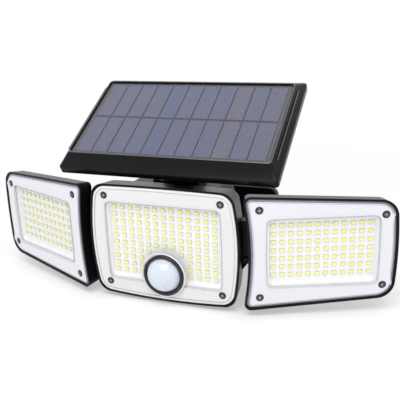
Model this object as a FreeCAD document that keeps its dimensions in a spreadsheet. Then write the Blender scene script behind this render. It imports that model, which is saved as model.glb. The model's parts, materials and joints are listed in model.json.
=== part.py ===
import FreeCAD, Part
import math
import os
import re

import Sketcher

V = FreeCAD.Vector

# Motion sensor security light: a centre lamp with a motion sensor, two side lamps on upright hinge
# pins, a solar panel on a tilting bracket and a wall plate with a tilting arm.
# The row frame has its origin at the middle of the wall plate's back face. +Y points into the wall,
# the lamps face -Y and +Z is up. Lamp pieces are drawn in the lamp's own frame, whose origin is the
# middle of the centre lamp's LEDs, on the plane of their faces.

SIZES = [
    # wall plate and arm
    ("plate_width", 114, "wall plate across"),
    ("plate_height", 60, "wall plate, bottom to top"),
    ("plate_depth", 7, "wall plate, wall to front"),
    ("plate_corner", 8, "corner radius of the wall plate"),
    ("plate_wall", 2.8, "thickness of the hollow plate"),
    ("fixing_spacing", 88, "between the two wall screws"),
    ("fixing_hole", 5, "wall screw hole, across"),
    ("fixing_boss", 13, "boss round a wall screw hole, across"),
    ("lamp_reach", 120, "wall to the plane of the LEDs"),
    ("lamp_rise", 18, "middle of the wall plate to middle of the centre lamp"),
    ("neck_back", 62, "plane of the LEDs back to the neck pivot"),
    ("arm_width", 28, "outside of the neck's two ears"),
    ("arm_root", 34, "height of the arm at the plate"),
    ("neck_ear_radius", 9.5, "round end of a neck ear"),
    ("neck_tongue_width", 16, "tongue on the rear housing, across"),
    ("neck_tongue_radius", 8, "round end of that tongue"),
    ("neck_bolt_width", 5, "neck bolt, across"),
    ("pivot_play", 0.05, "radial play of a bolt or pin in its hole"),
    ("side_play", 0.25, "sideways play of a tongue between its ears"),
    ("arm_screw_spread", 20, "between arm screws, across"),
    ("arm_screw_rise", 22, "between arm screws, up"),
    # centre lamp
    ("lamp_width", 118.6, "centre lamp across its bowed sides"),
    ("lamp_height", 90, "centre lamp, bottom to top"),
    ("lamp_side_bow", 4.6, "how far the sides bow out"),
    ("lamp_top_bow", 0.8, "how far the top bows out"),
    ("lamp_bottom_bow", 2.6, "how far the bottom bows out"),
    ("lamp_corner", 10.7, "corner radius of the centre lamp"),
    ("lamp_depth", 21, "rim to rear wall of the centre lamp"),
    ("lamp_draft", 8, "draft of the lamp walls, degrees"),
    ("lamp_wall", 1.5, "moulded wall of the lamps"),
    ("rim_front", 4, "rim ahead of the plane of the LEDs"),
    ("cover_proud", 0.3, "cover ahead of the rim"),
    ("cover_gap", 0.3, "between the cover's edge and the rim"),
    ("cover_wall", 1.6, "thickness of a lamp cover"),
    ("window_rise", 1, "window ahead of the cover's border"),
    ("gasket_wall", 0.8, "thickness of a cover gasket"),
    ("gasket_band", 1.6, "width of a cover gasket"),
    ("window_width", 91, "window of the centre lamp, across"),
    ("window_height", 62, "window of the centre lamp, up"),
    ("window_drop", 1, "middle of the window below the middle of the lamp"),
    ("window_corner", 4, "corner radius of a window"),
    ("cover_screw_across", 91.2, "between cover screws, across"),
    ("cover_screw_up", 69.4, "between cover screws, up"),
    ("screw_head", 5.4, "head of a cover screw, across"),
    ("screw_shank", 2.5, "shank of a small screw, across"),
    ("screw_head_wall", 1.2, "thickness of a screw head"),
    ("cover_screw_length", 13, "shank of a centre cover screw"),
    ("side_screw_length", 9, "shank of a side cover screw"),
    ("screw_bite", 6, "thread of the other screws in their bosses"),
    ("screw_fit", 0.1, "radial play of a screw in its boss"),
    ("boss_width", 7, "screw boss, across"),
    ("board_wall", 1.6, "thickness of a circuit board"),
    ("board_back", 0.4, "front face of an LED board behind the plane of the LEDs"),
    ("led_length", 3.5, "LED across"),
    ("led_height", 2.8, "LED up"),
    ("led_wall", 0.7, "thickness of an LED"),
    ("led_pitch_across", 6.6, "between LEDs across, centre lamp"),
    ("led_pitch_up", 5.58, "between LEDs up, centre lamp"),
    # motion sensor
    ("sensor_drop", 24, "middle of the sensor below the middle of the lamp"),
    ("ring_width", 32, "sensor ring, across"),
    ("ring_rise", 2.6, "sensor ring ahead of the rim"),
    ("dome_width", 26.6, "sensor dome, across"),
    ("dome_rise", 11, "sensor dome ahead of the rim"),
    ("dome_wall", 0.8, "thickness of the sensor dome"),
    ("sensor_can", 9.2, "sensor can, across"),
    ("sensor_can_height", 4, "sensor can, off the board"),
    # rear housing
    ("rear_width", 82, "rear housing across"),
    ("rear_height", 75, "rear housing, bottom to top"),
    ("rear_depth", 29, "rear housing, with its gasket, front to back"),
    ("rear_corner", 8, "corner radius of the rear housing"),
    ("rear_wall", 2.2, "moulded wall of the rear housing"),
    ("rear_screw_across", 68, "between rear screws, across"),
    ("rear_screw_up", 60, "between rear screws, up"),
    ("cell_width", 18.4, "battery cell, across"),
    ("cell_length", 65, "battery cell, end to end"),
    ("cell_pitch", 19.5, "between the two cells"),
    ("cell_rise", 3, "middle of the cells above the middle of the lamp"),
    ("cradle_wall", 3, "cradle behind the cells"),
    ("driver_width", 62, "driver board across"),
    ("driver_depth", 20, "driver board, front to back"),
    ("driver_post", 7.5, "posts under the driver board"),
    ("button_width", 9.4, "mode button, across"),
    ("button_proud", 1.6, "mode button below the rear housing"),
    ("button_travel", 1, "travel of the mode button"),
    ("button_play", 0.3, "between the mode button and its hole"),
    # side lamps
    ("hinge_across", 67, "hinge pin from the middle of the lamp"),
    ("hinge_rise", 2.75, "middle of the hinge above the middle of the lamp"),
    ("hinge_back", 17, "plane of the LEDs back to the hinge pin"),
    ("swing_angle", 21.8, "side lamps swung back from straight, degrees"),
    ("side_outward", 42.4, "hinge pin to the middle of a side lamp, outwards"),
    ("side_forward", 17, "hinge pin forward to the plane of a side lamp's LEDs"),
    ("side_led_rise", 1.25, "LEDs above the middle of a side lamp"),
    ("side_inner", 55.9, "middle of the LEDs to the inner edge"),
    ("side_outer", 50.8, "middle of the LEDs to the outer corners"),
    ("side_inner_height", 86, "side lamp at its inner edge"),
    ("side_outer_height", 72.6, "side lamp at its outer edge"),
    ("side_inner_bow", 4, "how far the inner edge bows in"),
    ("side_outer_bow", 2, "how far the outer edge bows out"),
    ("side_inner_corner", 5, "inner corner radius"),
    ("side_outer_corner", 13, "outer corner radius"),
    ("side_depth", 12.5, "rim to rear wall of a side lamp"),
    ("side_window_inner", 38.9, "middle of the LEDs to the inner edge of the window"),
    ("side_window_outer", 39.4, "middle of the LEDs to the outer edge of the window"),
    ("side_window_height", 51.5, "window of a side lamp, up"),
    ("side_screw_inner", 44, "middle of the LEDs to the inner screws"),
    ("side_screw_outer", 42.8, "middle of the LEDs to the outer screws"),
    ("side_screw_inner_up", 65.4, "between the inner screws"),
    ("side_screw_outer_up", 52.6, "between the outer screws"),
    ("side_led_pitch", 6.17, "between LEDs, side lamps"),
    ("lug_wall", 4, "thickness of a hinge lug"),
    ("lug_radius", 5.5, "round end of a hinge lug and of the knuckle"),
    ("knuckle_height", 18.5, "hinge knuckle of a side lamp"),
    ("bush_height", 3, "bush between knuckle and lug"),
    ("bush_play", 0.1, "along the pin, beside each bush"),
    ("bush_width", 8, "hinge bush, across"),
    ("pin_width", 4, "hinge pin, across"),
    ("pin_head", 7, "head of a hinge pin, across"),
    ("foot_wall", 3, "foot of a side arm"),
    ("foot_height", 23, "foot of a side arm, up"),
    ("foot_reach", 32, "hinge pin to the outer end of the foot"),
    # solar panel
    ("panel_pivot_back", 54, "plane of the LEDs back to the panel pivot"),
    ("panel_pivot_rise", 52, "middle of the lamp up to the panel pivot"),
    ("panel_angle", 29.5, "tilt of the panel, degrees"),
    ("panel_stand", 34.2, "panel pivot to the plane of the panel's rim"),
    ("panel_shift", 7.4, "panel pivot to the middle of the panel, along it"),
    ("panel_width", 158.2, "rim of the panel, across"),
    ("panel_length", 87.5, "rim of the panel, front to back"),
    ("skirt_side", 6.2, "how far the skirt flares at each side"),
    ("skirt_end", 10.2, "how far the skirt flares at front and back"),
    ("skirt_drop", 7.3, "drop of the flared skirt"),
    ("band_height", 5.8, "upright band below the skirt"),
    ("panel_corner", 5, "corner radius of the panel's band"),
    ("panel_rim_corner", 2, "corner radius of the panel's rim"),
    ("panel_rim", 1.4, "width of the panel's rim"),
    ("panel_recess", 1.1, "glass below the rim"),
    ("glass_wall", 0.65, "thickness of the panel's glass"),
    ("cell_wall", 0.3, "thickness of a solar cell"),
    ("panel_deck", 1.6, "deck under the panel's board"),
    ("panel_wall", 2, "wall of the panel's skirt"),
    ("panel_gap", 0.3, "between the board or back and the frame"),
    ("solar_margin_side", 3.05, "recess beside the solar cells"),
    ("solar_margin_end", 2.25, "recess before and behind the solar cells"),
    ("solar_gap_across", 0.52, "between solar cells, across"),
    ("solar_gap_along", 1, "between the two rows of solar cells"),
    ("panel_back_wall", 2, "thickness of the panel's back"),
    ("panel_ear_radius", 8, "round end of a panel bracket ear"),
    ("panel_ear_width", 4.5, "thickness of a panel bracket ear"),
    ("panel_tongue_width", 16, "tongue on the panel's back, across"),
    ("panel_tongue_radius", 7, "round end of that tongue"),
    ("panel_bolt_width", 4, "panel bolt, across"),
    ("bracket_width", 38, "foot of the panel bracket, across"),
    ("bracket_depth", 20, "foot of the panel bracket, front to back"),
    ("bracket_back", 24, "plane of the LEDs back to that foot"),
    ("bracket_wall", 3, "thickness of that foot"),
]
LED_COLUMNS, LED_ROWS = 13, 10
SIDE_LED_COLUMNS, SIDE_LED_ROWS = 12, 7
SOLAR_COLUMNS, SOLAR_ROWS = 11, 2
ALIASES = {alias for alias, number, note in SIZES}

doc = FreeCAD.newDocument("SecurityLight")
sheet = doc.addObject("Spreadsheet::Sheet", "Sizes")
for row, (alias, number, note) in enumerate(SIZES, 1):
    sheet.set(f"A{row}", note)
    sheet.set(f"B{row}", str(number))
    sheet.setAlias(f"B{row}", alias)
doc.recompute()

parts = {}


# ---------------------------------------------------------------- formulas and sketches

def formula(text):
    """Write a formula of plain size names so that it reads the sheet."""
    return re.sub(r"[a-z_]+", lambda m: "Sizes." + m.group() if m.group() in ALIASES else m.group(), text)


def val(text):
    return float(sheet.evalExpression(formula(text)))


def new_body(label):
    body = doc.addObject("PartDesign::Body", "Body_" + label)
    body.Label = label
    parts[label] = body
    return body


def place(item, x="0", y="0", z="0", axis=None, angle="0"):
    """Tie an object's place, and its turn about one axis, to the sheet."""
    turn = FreeCAD.Rotation(axis, val(angle)) if axis else FreeCAD.Rotation()
    item.Placement = FreeCAD.Placement(V(val(x), val(y), val(z)), turn)
    for name, text in (("x", x), ("y", y), ("z", z)):
        item.setExpression("Placement.Base." + name, formula(text))
    if axis:
        item.setExpression("Placement.Rotation.Angle", formula(angle))


def place_on_lamp(item):
    place(item, y="-lamp_reach", z="lamp_rise")


def new_sketch(body, name, plane, offset="0"):
    """A sketch on one of the body's own planes, offset along X, Y or Z."""
    sketch = body.newObject("Sketcher::SketchObject", f"{body.Label}_{name}")
    support = [item for item in body.Origin.OriginFeatures if item.Role == plane + "_Plane"][0]
    sketch.AttachmentSupport = [(support, "")]
    sketch.MapMode = "FlatFace"
    text = f"-({offset})" if plane == "XZ" else offset
    sketch.AttachmentOffset = FreeCAD.Placement(V(0, 0, val(text)), FreeCAD.Rotation())
    sketch.setExpression("AttachmentOffset.Base.z", formula(text))
    return sketch


def bind(sketch, kind, *where, text):
    index = sketch.addConstraint(Sketcher.Constraint(kind, *where, val(text)))
    sketch.setExpression(f"Constraints[{index}]", formula(text))


def fix_point(sketch, geometry, end, x, y):
    for kind, text, line in (("DistanceX", x, -2), ("DistanceY", y, -1)):
        if abs(val(text)) < 1e-9:
            sketch.addConstraint(Sketcher.Constraint("PointOnObject", geometry, end, line))
        else:
            bind(sketch, kind, -1, 1, geometry, end, text=text)


def draw_circle(sketch, x, y, radius):
    circle = sketch.addGeometry(Part.Circle(V(val(x), val(y), 0), V(0, 0, 1), val(radius)), False)
    fix_point(sketch, circle, 3, x, y)
    bind(sketch, "Radius", circle, text=radius)


class Edge:
    """A straight or bowed edge of an outline. sense is the side its inside lies on."""

    def __init__(self, start, end, sense, half=None, rise=None):
        self.start, self.end, self.centre = start, end, None
        along = (end - start).normalize()
        self.inward = V(-along.y, along.x, 0) * sense
        if rise:
            self.radius = (half ** 2 + rise ** 2) / (2 * abs(rise))
            self.bend = math.copysign(1, rise)
            self.centre = (start + end) / 2 - self.inward * (rise - self.bend * self.radius)

    def depth(self, point):
        """How far inside the edge a point lies, and the way straight inwards there."""
        if self.centre is None:
            return (point - self.start).dot(self.inward), self.inward
        arm = point - self.centre
        return self.bend * (self.radius - arm.Length), arm.normalize() * -self.bend

    def curve(self):
        """The sketch geometry, and the numbers of its first and last point."""
        if self.centre is None:
            return Part.LineSegment(self.start, self.end), 1, 2
        return arc_between(self.centre, self.radius, self.start, self.end)


def arc_between(centre, radius, start, end):
    """The shorter arc, which a sketch always stores counter-clockwise."""
    circle = Part.Circle(centre, V(0, 0, 1), radius)
    forward = (start - centre).cross(end - centre).z > 0
    first, last = (start, end) if forward else (end, start)
    arc = Part.ArcOfCircle(circle, circle.parameter(first), circle.parameter(last))
    return (arc, 1, 2) if forward else (arc, 2, 1)


def round_between(before, after, corner, radius):
    """Middle of the round that touches two edges near their corner, and both touching points."""
    middle = corner + (before.inward + after.inward) * radius
    for step in range(20):
        (near, one), (far, two) = before.depth(middle), after.depth(middle)
        near, far = radius - near, radius - far
        scale = one.x * two.y - one.y * two.x
        middle = middle + V(near * two.y - far * one.y, far * one.x - near * two.x, 0) / scale
    return middle, middle - before.depth(middle)[1] * radius, middle - after.depth(middle)[1] * radius


def draw_outline(sketch, points, bows=None, rounds=None):
    """A closed outline. bows gives half the chord and the rise of each bowed edge, and the rise is
    below zero where it bows inwards. rounds gives the radius at each rounded corner."""
    bows, rounds = bows or {}, rounds or {}
    spots = [V(val(x), val(y), 0) for x, y in points]
    count = len(spots)
    area = sum(spots[k - 1].x * spots[k].y - spots[k].x * spots[k - 1].y for k in range(count))
    edges = []
    for k, spot in enumerate(spots):
        bow = [val(text) for text in bows.get(k, ())]
        edges.append(Edge(spot, spots[(k + 1) % count], math.copysign(1, area), *bow))
    arcs = {}
    for k, radius in rounds.items():
        middle, near, far = round_between(edges[k - 1], edges[k], spots[k], val(radius))
        arcs[k] = arc_between(middle, val(radius), near, far)
        edges[k - 1].end, edges[k].start = near, far
    drawn = []
    for k, edge in enumerate(edges):
        curve, first, last = edge.curve()
        drawn.append((sketch.addGeometry(curve, False), first, last))
        if k in bows:
            half, rise = bows[k]
            bind(sketch, "Radius", drawn[k][0], text=f"(({half})^2 + ({rise})^2) / (2 * abs({rise}))")
    for k, (x, y) in enumerate(points):
        before, after = drawn[k - 1], drawn[k]
        if k not in rounds:
            sketch.addConstraint(Sketcher.Constraint("Coincident", before[0], before[2], after[0], after[1]))
            fix_point(sketch, after[0], after[1], x, y)
            continue
        corner = sketch.addGeometry(Part.Point(spots[k]), True)
        fix_point(sketch, corner, 1, x, y)
        sketch.addConstraint(Sketcher.Constraint("PointOnObject", corner, 1, before[0]))
        sketch.addConstraint(Sketcher.Constraint("PointOnObject", corner, 1, after[0]))
        curve, first, last = arcs[k]
        arc = sketch.addGeometry(curve, False)
        bind(sketch, "Radius", arc, text=rounds[k])
        sketch.addConstraint(Sketcher.Constraint("Tangent", before[0], before[2], arc, first))
        sketch.addConstraint(Sketcher.Constraint("Tangent", arc, last, after[0], after[1]))


def draw_rounded(sketch, width, height, corner, x="0", y="0"):
    """A rectangle with round corners about a middle point."""
    half_w, half_h, radius = val(width) / 2, val(height) / 2, val(corner)
    middle = V(val(x), val(y), 0)
    quarters = ((1, 1, 0), (-1, 1, 90), (-1, -1, 180), (1, -1, 270))
    arcs = []
    for right, up, angle in quarters:
        centre = middle + V(right * (half_w - radius), up * (half_h - radius), 0)
        first = math.radians(angle)
        circle = Part.Circle(centre, V(0, 0, 1), radius)
        arc = sketch.addGeometry(Part.ArcOfCircle(circle, first, first + math.pi / 2), False)
        fix_point(sketch, arc, 3, f"({x}) + {right} * (({width}) / 2 - ({corner}))",
                  f"({y}) + {up} * (({height}) / 2 - ({corner}))")
        bind(sketch, "Radius", arc, text=corner)
        arcs.append(arc)
    for k, arc in enumerate(arcs):
        after = arcs[(k + 1) % 4]
        start, end = sketch.getPoint(arc, 2), sketch.getPoint(after, 1)
        line = sketch.addGeometry(Part.LineSegment(start, end), False)
        sketch.addConstraint(Sketcher.Constraint("Tangent", arc, 2, line, 1))
        sketch.addConstraint(Sketcher.Constraint("Tangent", line, 2, after, 1))


# ---------------------------------------------------------------- features

def solid_volume(body):
    doc.recompute()
    return body.Shape.Volume


def pad(sketch, length, way=1, middle=False, draft=None):
    """Add the sketch's shape towards +axis (way 1) or -axis (way -1)."""
    body = sketch.getParentGeoFeatureGroup()
    feature = body.newObject("PartDesign::Pad", sketch.Name + "_pad")
    feature.Profile = sketch
    feature.setExpression("Length", formula(length))
    feature.Reversed = (way > 0) == (support_role(sketch) == "XZ_Plane")
    feature.Midplane = middle
    if draft:
        feature.setExpression("TaperAngle", formula(draft))
    sketch.Visibility = False
    return feature


def support_role(sketch):
    return sketch.AttachmentSupport[0][0].Role


def cut(sketch, length, way=1, middle=False, draft=None):
    """Take the sketch's shape away towards +axis (way 1) or -axis (way -1)."""
    body = sketch.getParentGeoFeatureGroup()
    before = solid_volume(body)
    feature = body.newObject("PartDesign::Pocket", sketch.Name + "_cut")
    feature.Profile = sketch
    feature.setExpression("Length", formula(length))
    feature.Reversed = (way < 0) == (support_role(sketch) == "XZ_Plane")
    feature.Midplane = middle
    if draft:
        feature.setExpression("TaperAngle", formula(draft))
    if not solid_volume(body) < before:
        raise RuntimeError(feature.Name + " cuts nothing")
    return feature


def pad_rounded(body, name, plane, offset, size, length, way=1, at=("0", "0"), draft=None):
    sketch = new_sketch(body, name, plane, offset)
    draw_rounded(sketch, *size, *at)
    return pad(sketch, length, way, draft=draft)


def cut_rounded(body, name, plane, offset, size, length, way=1, at=("0", "0"), draft=None):
    sketch = new_sketch(body, name, plane, offset)
    draw_rounded(sketch, *size, *at)
    return cut(sketch, length, way, draft=draft)


def pad_circles(body, name, plane, offset, radius, places, length, way=1):
    sketch = new_sketch(body, name, plane, offset)
    for x, y in places:
        draw_circle(sketch, x, y, radius)
    return pad(sketch, length, way)


def cut_circles(body, name, plane, offset, radius, places, length, way=1):
    sketch = new_sketch(body, name, plane, offset)
    for x, y in places:
        draw_circle(sketch, x, y, radius)
    return cut(sketch, length, way)


def dress(body, kind, name, size, pick):
    """Fillet or chamfer the edges of the body's tip that pick chooses."""
    doc.recompute()
    base = body.Tip
    edges = [f"Edge{k}" for k, edge in enumerate(base.Shape.Edges, 1) if pick(edge)]
    if not edges:
        raise RuntimeError(f"{body.Label} {name} finds no edge")
    feature = body.newObject("PartDesign::" + kind, f"{body.Label}_{name}")
    feature.Base = (base, edges)
    feature.setExpression("Radius" if kind == "Fillet" else "Size", formula(size))
    return feature


def at_y(y):
    return lambda edge: edge.BoundBox.YLength < 1e-6 and abs(edge.BoundBox.YMin - y) < 1e-6


def corners(across, up):
    """The four corners of a rectangle of that spacing."""
    return [(f"{i} * ({across}) / 2", f"{j} * ({up}) / 2") for i in (-1, 1) for j in (-1, 1)]


def group(label, shapes):
    """Separate solids of one kind that share a node."""
    item = doc.addObject("Part::Feature", "Group_" + label)
    item.Label = label
    item.Shape = Part.makeCompound(shapes)
    parts[label] = item
    return item


def lamp_frame(y="0", z="0"):
    return FreeCAD.Placement(V(0, val(f"-lamp_reach + {y}"), val(f"lamp_rise + {z}")), FreeCAD.Rotation())


def screw(head_at, way, shank, head="screw_head"):
    """A screw along an axis from under its head: way points down the shank."""
    under = Part.makeCylinder(val(head) / 2, val("screw_head_wall"), head_at, way * -1)
    stem = Part.makeCylinder(val("screw_shank / 2"), shank, head_at, way)
    return under.fuse(stem).removeSplitter()


# ---------------------------------------------------------------- wall plate and arm

ARM_SCREWS = corners("arm_screw_spread", "arm_screw_rise")
NECK_Y, NECK_Z = "-(lamp_reach - neck_back)", "lamp_rise"


def make_wall_plate():
    body = new_body("wall_plate")
    place(body)
    pad_rounded(body, "block", "XZ", "0", ("plate_width", "plate_height", "plate_corner"), "plate_depth", -1)
    dress(body, "Fillet", "front_edge", "plate_wall * 0.6", at_y(-val("plate_depth")))
    inside = ("plate_width - 2 * plate_wall", "plate_height - 2 * plate_wall", "plate_corner - plate_wall")
    cut_rounded(body, "hollow", "XZ", "0", inside, "plate_depth - plate_wall", -1)
    fixings = [("-fixing_spacing / 2", "0"), ("fixing_spacing / 2", "0")]
    pad_circles(body, "fixing_bosses", "XZ", "0", "fixing_boss / 2", fixings, "plate_depth", -1)
    pad_rounded(body, "arm_seat", "XZ", "0", ("arm_width", "arm_root", "2"), "plate_depth", -1)
    cut_circles(body, "fixing_holes", "XZ", "0", "fixing_hole / 2", fixings, "plate_depth + 1", -1)
    cut_circles(body, "screw_holes", "XZ", "0", "screw_shank / 2 + screw_fit", ARM_SCREWS, "plate_depth + 1", -1)
    cut_circles(body, "screw_seats", "XZ", "0", "screw_head / 2 + screw_fit", ARM_SCREWS, "plate_depth / 2", -1)


def make_wall_arm():
    """A tapering arm whose slotted end holds the rear housing's tongue."""
    body = new_body("wall_arm")
    place(body)
    lean = math.degrees(math.atan2(val("lamp_rise"), val("lamp_reach - neck_back - plate_depth")))
    across = f"neck_ear_radius * sin({lean})", f"neck_ear_radius * cos({lean})"
    sketch = new_sketch(body, "side", "YZ")
    draw_outline(sketch, [
        ("-plate_depth", "-arm_root / 2"), ("-plate_depth", "arm_root / 2"),
        ("-plate_depth - 4", "arm_root / 2"),
        (f"{NECK_Y} + {across[0]}", f"{NECK_Z} + {across[1]}"),
        (f"{NECK_Y} - {across[0]}", f"{NECK_Z} - {across[1]}"),
        ("-plate_depth - 4", "-arm_root / 2")])
    pad(sketch, "arm_width", middle=True)
    sketch = new_sketch(body, "ear", "YZ")
    draw_circle(sketch, NECK_Y, NECK_Z, "neck_ear_radius")
    pad(sketch, "arm_width", middle=True)
    sketch = new_sketch(body, "slot", "YZ")
    slot = f"{NECK_Y} + neck_ear_radius + 1"
    draw_outline(sketch, [(slot, f"{NECK_Z} - 3 * neck_ear_radius"), (slot, f"{NECK_Z} + 3 * neck_ear_radius"),
                          (f"{NECK_Y} - 2 * neck_ear_radius", f"{NECK_Z} + 3 * neck_ear_radius"),
                          (f"{NECK_Y} - 2 * neck_ear_radius", f"{NECK_Z} - 3 * neck_ear_radius")])
    cut(sketch, "neck_tongue_width + 2 * side_play", middle=True)
    sketch = new_sketch(body, "bolt_hole", "YZ")
    draw_circle(sketch, NECK_Y, NECK_Z, "neck_bolt_width / 2 + pivot_play")
    cut(sketch, "arm_width + 2", middle=True)
    cut_circles(body, "screw_holes", "XZ", "-plate_depth", "screw_shank / 2 + screw_fit / 2", ARM_SCREWS, "9", -1)


def make_arm_screws():
    """Four screws through the plate from behind."""
    y = -val("plate_depth / 2")
    shapes = [screw(V(val(x), y, val(z)), V(0, -1, 0), val("plate_depth / 2 + 8"), "screw_head")
              for x, z in ARM_SCREWS]
    group("arm_screws", shapes)


def make_bolt(label, bolt, width, y, z):
    """A pivot bolt along X and its hexagon nut."""
    head = doc.addObject("Part::Cylinder", label + "_bolt_head")
    head.setExpression("Radius", formula(f"{bolt} * 0.9"))
    head.setExpression("Height", formula(f"{bolt} * 0.7"))
    place(head, f"({width}) / 2", y, z, V(0, 1, 0), "90")
    stem = doc.addObject("Part::Cylinder", label + "_bolt_stem")
    stem.setExpression("Radius", formula(f"{bolt} / 2"))
    stem.setExpression("Height", formula(f"({width}) + {bolt}"))
    place(stem, f"-({width}) / 2 - {bolt}", y, z, V(0, 1, 0), "90")
    socket = doc.addObject("Part::Prism", label + "_bolt_socket")
    socket.Polygon = 6
    socket.setExpression("Circumradius", formula(f"{bolt} * 0.46"))
    socket.setExpression("Height", formula(f"{bolt}"))
    place(socket, f"({width}) / 2 + {bolt} * 0.3", y, z, V(0, 1, 0), "90")
    joined = doc.addObject("Part::Fuse", label + "_bolt_blank")
    joined.Base, joined.Tool = head, stem
    whole = doc.addObject("Part::Cut", label + "_bolt")
    whole.Base, whole.Tool = joined, socket
    whole.Label = label + "_bolt"
    parts[whole.Label] = whole
    blank = doc.addObject("Part::Prism", label + "_nut_blank")
    blank.Polygon = 6
    blank.setExpression("Circumradius", formula(f"{bolt} * 0.92"))
    blank.setExpression("Height", formula(f"{bolt} * 0.8"))
    place(blank, f"-({width}) / 2 - {bolt} * 0.8", y, z, V(0, 1, 0), "90")
    hole = doc.addObject("Part::Cylinder", label + "_nut_hole")
    hole.setExpression("Radius", formula(f"{bolt} / 2 + pivot_play"))
    hole.setExpression("Height", formula(f"{bolt} * 2"))
    place(hole, f"-({width}) / 2 - {bolt} * 1.5", y, z, V(0, 1, 0), "90")
    nut = doc.addObject("Part::Cut", label + "_nut")
    nut.Base, nut.Tool = blank, hole
    nut.Label = label + "_nut"
    parts[nut.Label] = nut


# ---------------------------------------------------------------- centre lamp

COVER_FRONT = "-(rim_front + cover_proud)"
COVER_BACK = f"({COVER_FRONT} + cover_wall)"
REFLECTOR_FRONT = f"({COVER_BACK} + gasket_wall)"
CENTRE_SCREWS = corners("cover_screw_across", "cover_screw_up")
SENSOR = [("0", "-sensor_drop")]
WINDOW_AT = ("0", "-window_drop")
LAMP_INSET = "(lamp_wall / cos(lamp_draft) + cover_gap)"


def draw_lamp_outline(sketch, inset="0"):
    """The centre lamp's bowed outline, smaller all round by inset."""
    half_w = f"lamp_width / 2 - lamp_side_bow - ({inset})"
    half_h = f"(lamp_height - lamp_top_bow - lamp_bottom_bow) / 2 - ({inset})"
    points = [(f"-({half_w})", f"-({half_h})"), (half_w, f"-({half_h})"),
              (half_w, half_h), (f"-({half_w})", half_h)]
    bows = {0: (half_w, "lamp_bottom_bow"), 1: (half_h, "lamp_side_bow"),
            2: (half_w, "lamp_top_bow"), 3: (half_h, "lamp_side_bow")}
    draw_outline(sketch, points, bows, {k: f"lamp_corner - ({inset})" for k in range(4)})


def lamp_plate(label, front, wall, inset):
    """A flat piece with the centre lamp's outline."""
    body = new_body(label)
    place_on_lamp(body)
    sketch = new_sketch(body, "outline", "XZ", front)
    draw_lamp_outline(sketch, inset)
    pad(sketch, wall, 1)
    return body


def make_centre_housing():
    body = new_body("centre_housing")
    place_on_lamp(body)
    sketch = new_sketch(body, "outline", "XZ", "-rim_front")
    draw_lamp_outline(sketch)
    pad(sketch, "lamp_depth", 1, draft="-lamp_draft")
    dress(body, "Fillet", "rear_edge", "lamp_wall * 1.5", at_y(val("lamp_depth - rim_front")))
    sketch = new_sketch(body, "inside", "XZ", "-rim_front")
    draw_lamp_outline(sketch, "lamp_wall / cos(lamp_draft)")
    cut(sketch, "lamp_depth - lamp_wall", 1, draft="-lamp_draft")
    floor = "lamp_depth - rim_front - lamp_wall"
    pad_circles(body, "bosses", "XZ", "board_back", "boss_width / 2", CENTRE_SCREWS, f"{floor} - board_back + 0.1", 1)
    depth = f"cover_screw_length + {COVER_FRONT} + 0.8 - board_back + 1"
    cut_circles(body, "boss_holes", "XZ", "board_back", "screw_shank / 2 + screw_fit / 2", CENTRE_SCREWS, depth, 1)
    cut_circles(body, "wire_hole", "XZ", floor, "5", [("0", "rear_height / 2 - 12")], "lamp_wall + 1", 1)
    rear_screws = corners("rear_screw_across", "rear_screw_up")
    cut_circles(body, "rear_holes", "XZ", floor, "screw_shank / 2 + screw_fit", rear_screws, "lamp_wall + 1", 1)
    make_lugs(body)


def make_lugs(body):
    """On each side wall an upper and a lower hinge lug, a spine between them and a gusset below."""
    low = "knuckle_height / 2 + bush_height + 2 * bush_play"
    bottom = f"hinge_rise - ({low} + lug_wall)"
    root, reach = "hinge_across - 12.5", "hinge_across - lug_radius - 0.8"
    for side, end in ((-1, "left"), (1, "right")):
        pin = [(f"{side} * hinge_across", "hinge_back")]
        for name, level in (("upper", f"hinge_rise + {low}"), ("lower", bottom)):
            sketch = new_sketch(body, f"{end}_{name}_lug", "XY", level)
            points = [(root, "hinge_back - lug_radius - 2"), ("hinge_across", "hinge_back - lug_radius"),
                      ("hinge_across", "hinge_back + lug_radius"), (root, "lamp_depth - rim_front - 0.5")]
            draw_outline(sketch, [(f"{side} * ({x})", y) for x, y in points])
            pad(sketch, "lug_wall", 1)
            pad_circles(body, f"{end}_{name}_eye", "XY", level, "lug_radius", pin, "lug_wall", 1)
            cut_circles(body, f"{end}_{name}_hole", "XY", level, "pin_width / 2 + pivot_play", pin, "lug_wall", 1)
        sketch = new_sketch(body, f"{end}_spine", "XY", f"{bottom} + lug_wall / 2")
        points = [(root, "hinge_back - lug_radius"), (reach, "hinge_back - lug_radius + 1"),
                  (reach, "hinge_back + lug_radius - 1"), (root, "lamp_depth - rim_front - 0.5")]
        draw_outline(sketch, [(f"{side} * ({x})", y) for x, y in points])
        pad(sketch, f"2 * ({low}) + lug_wall", 1)
        sketch = new_sketch(body, f"{end}_gusset", "XZ", "hinge_back - 6")
        points = [(root, bottom), (reach, bottom), (root, f"({bottom}) - 8")]
        draw_outline(sketch, [(f"{side} * ({x})", z) for x, z in points])
        pad(sketch, "4", 1)


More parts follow.
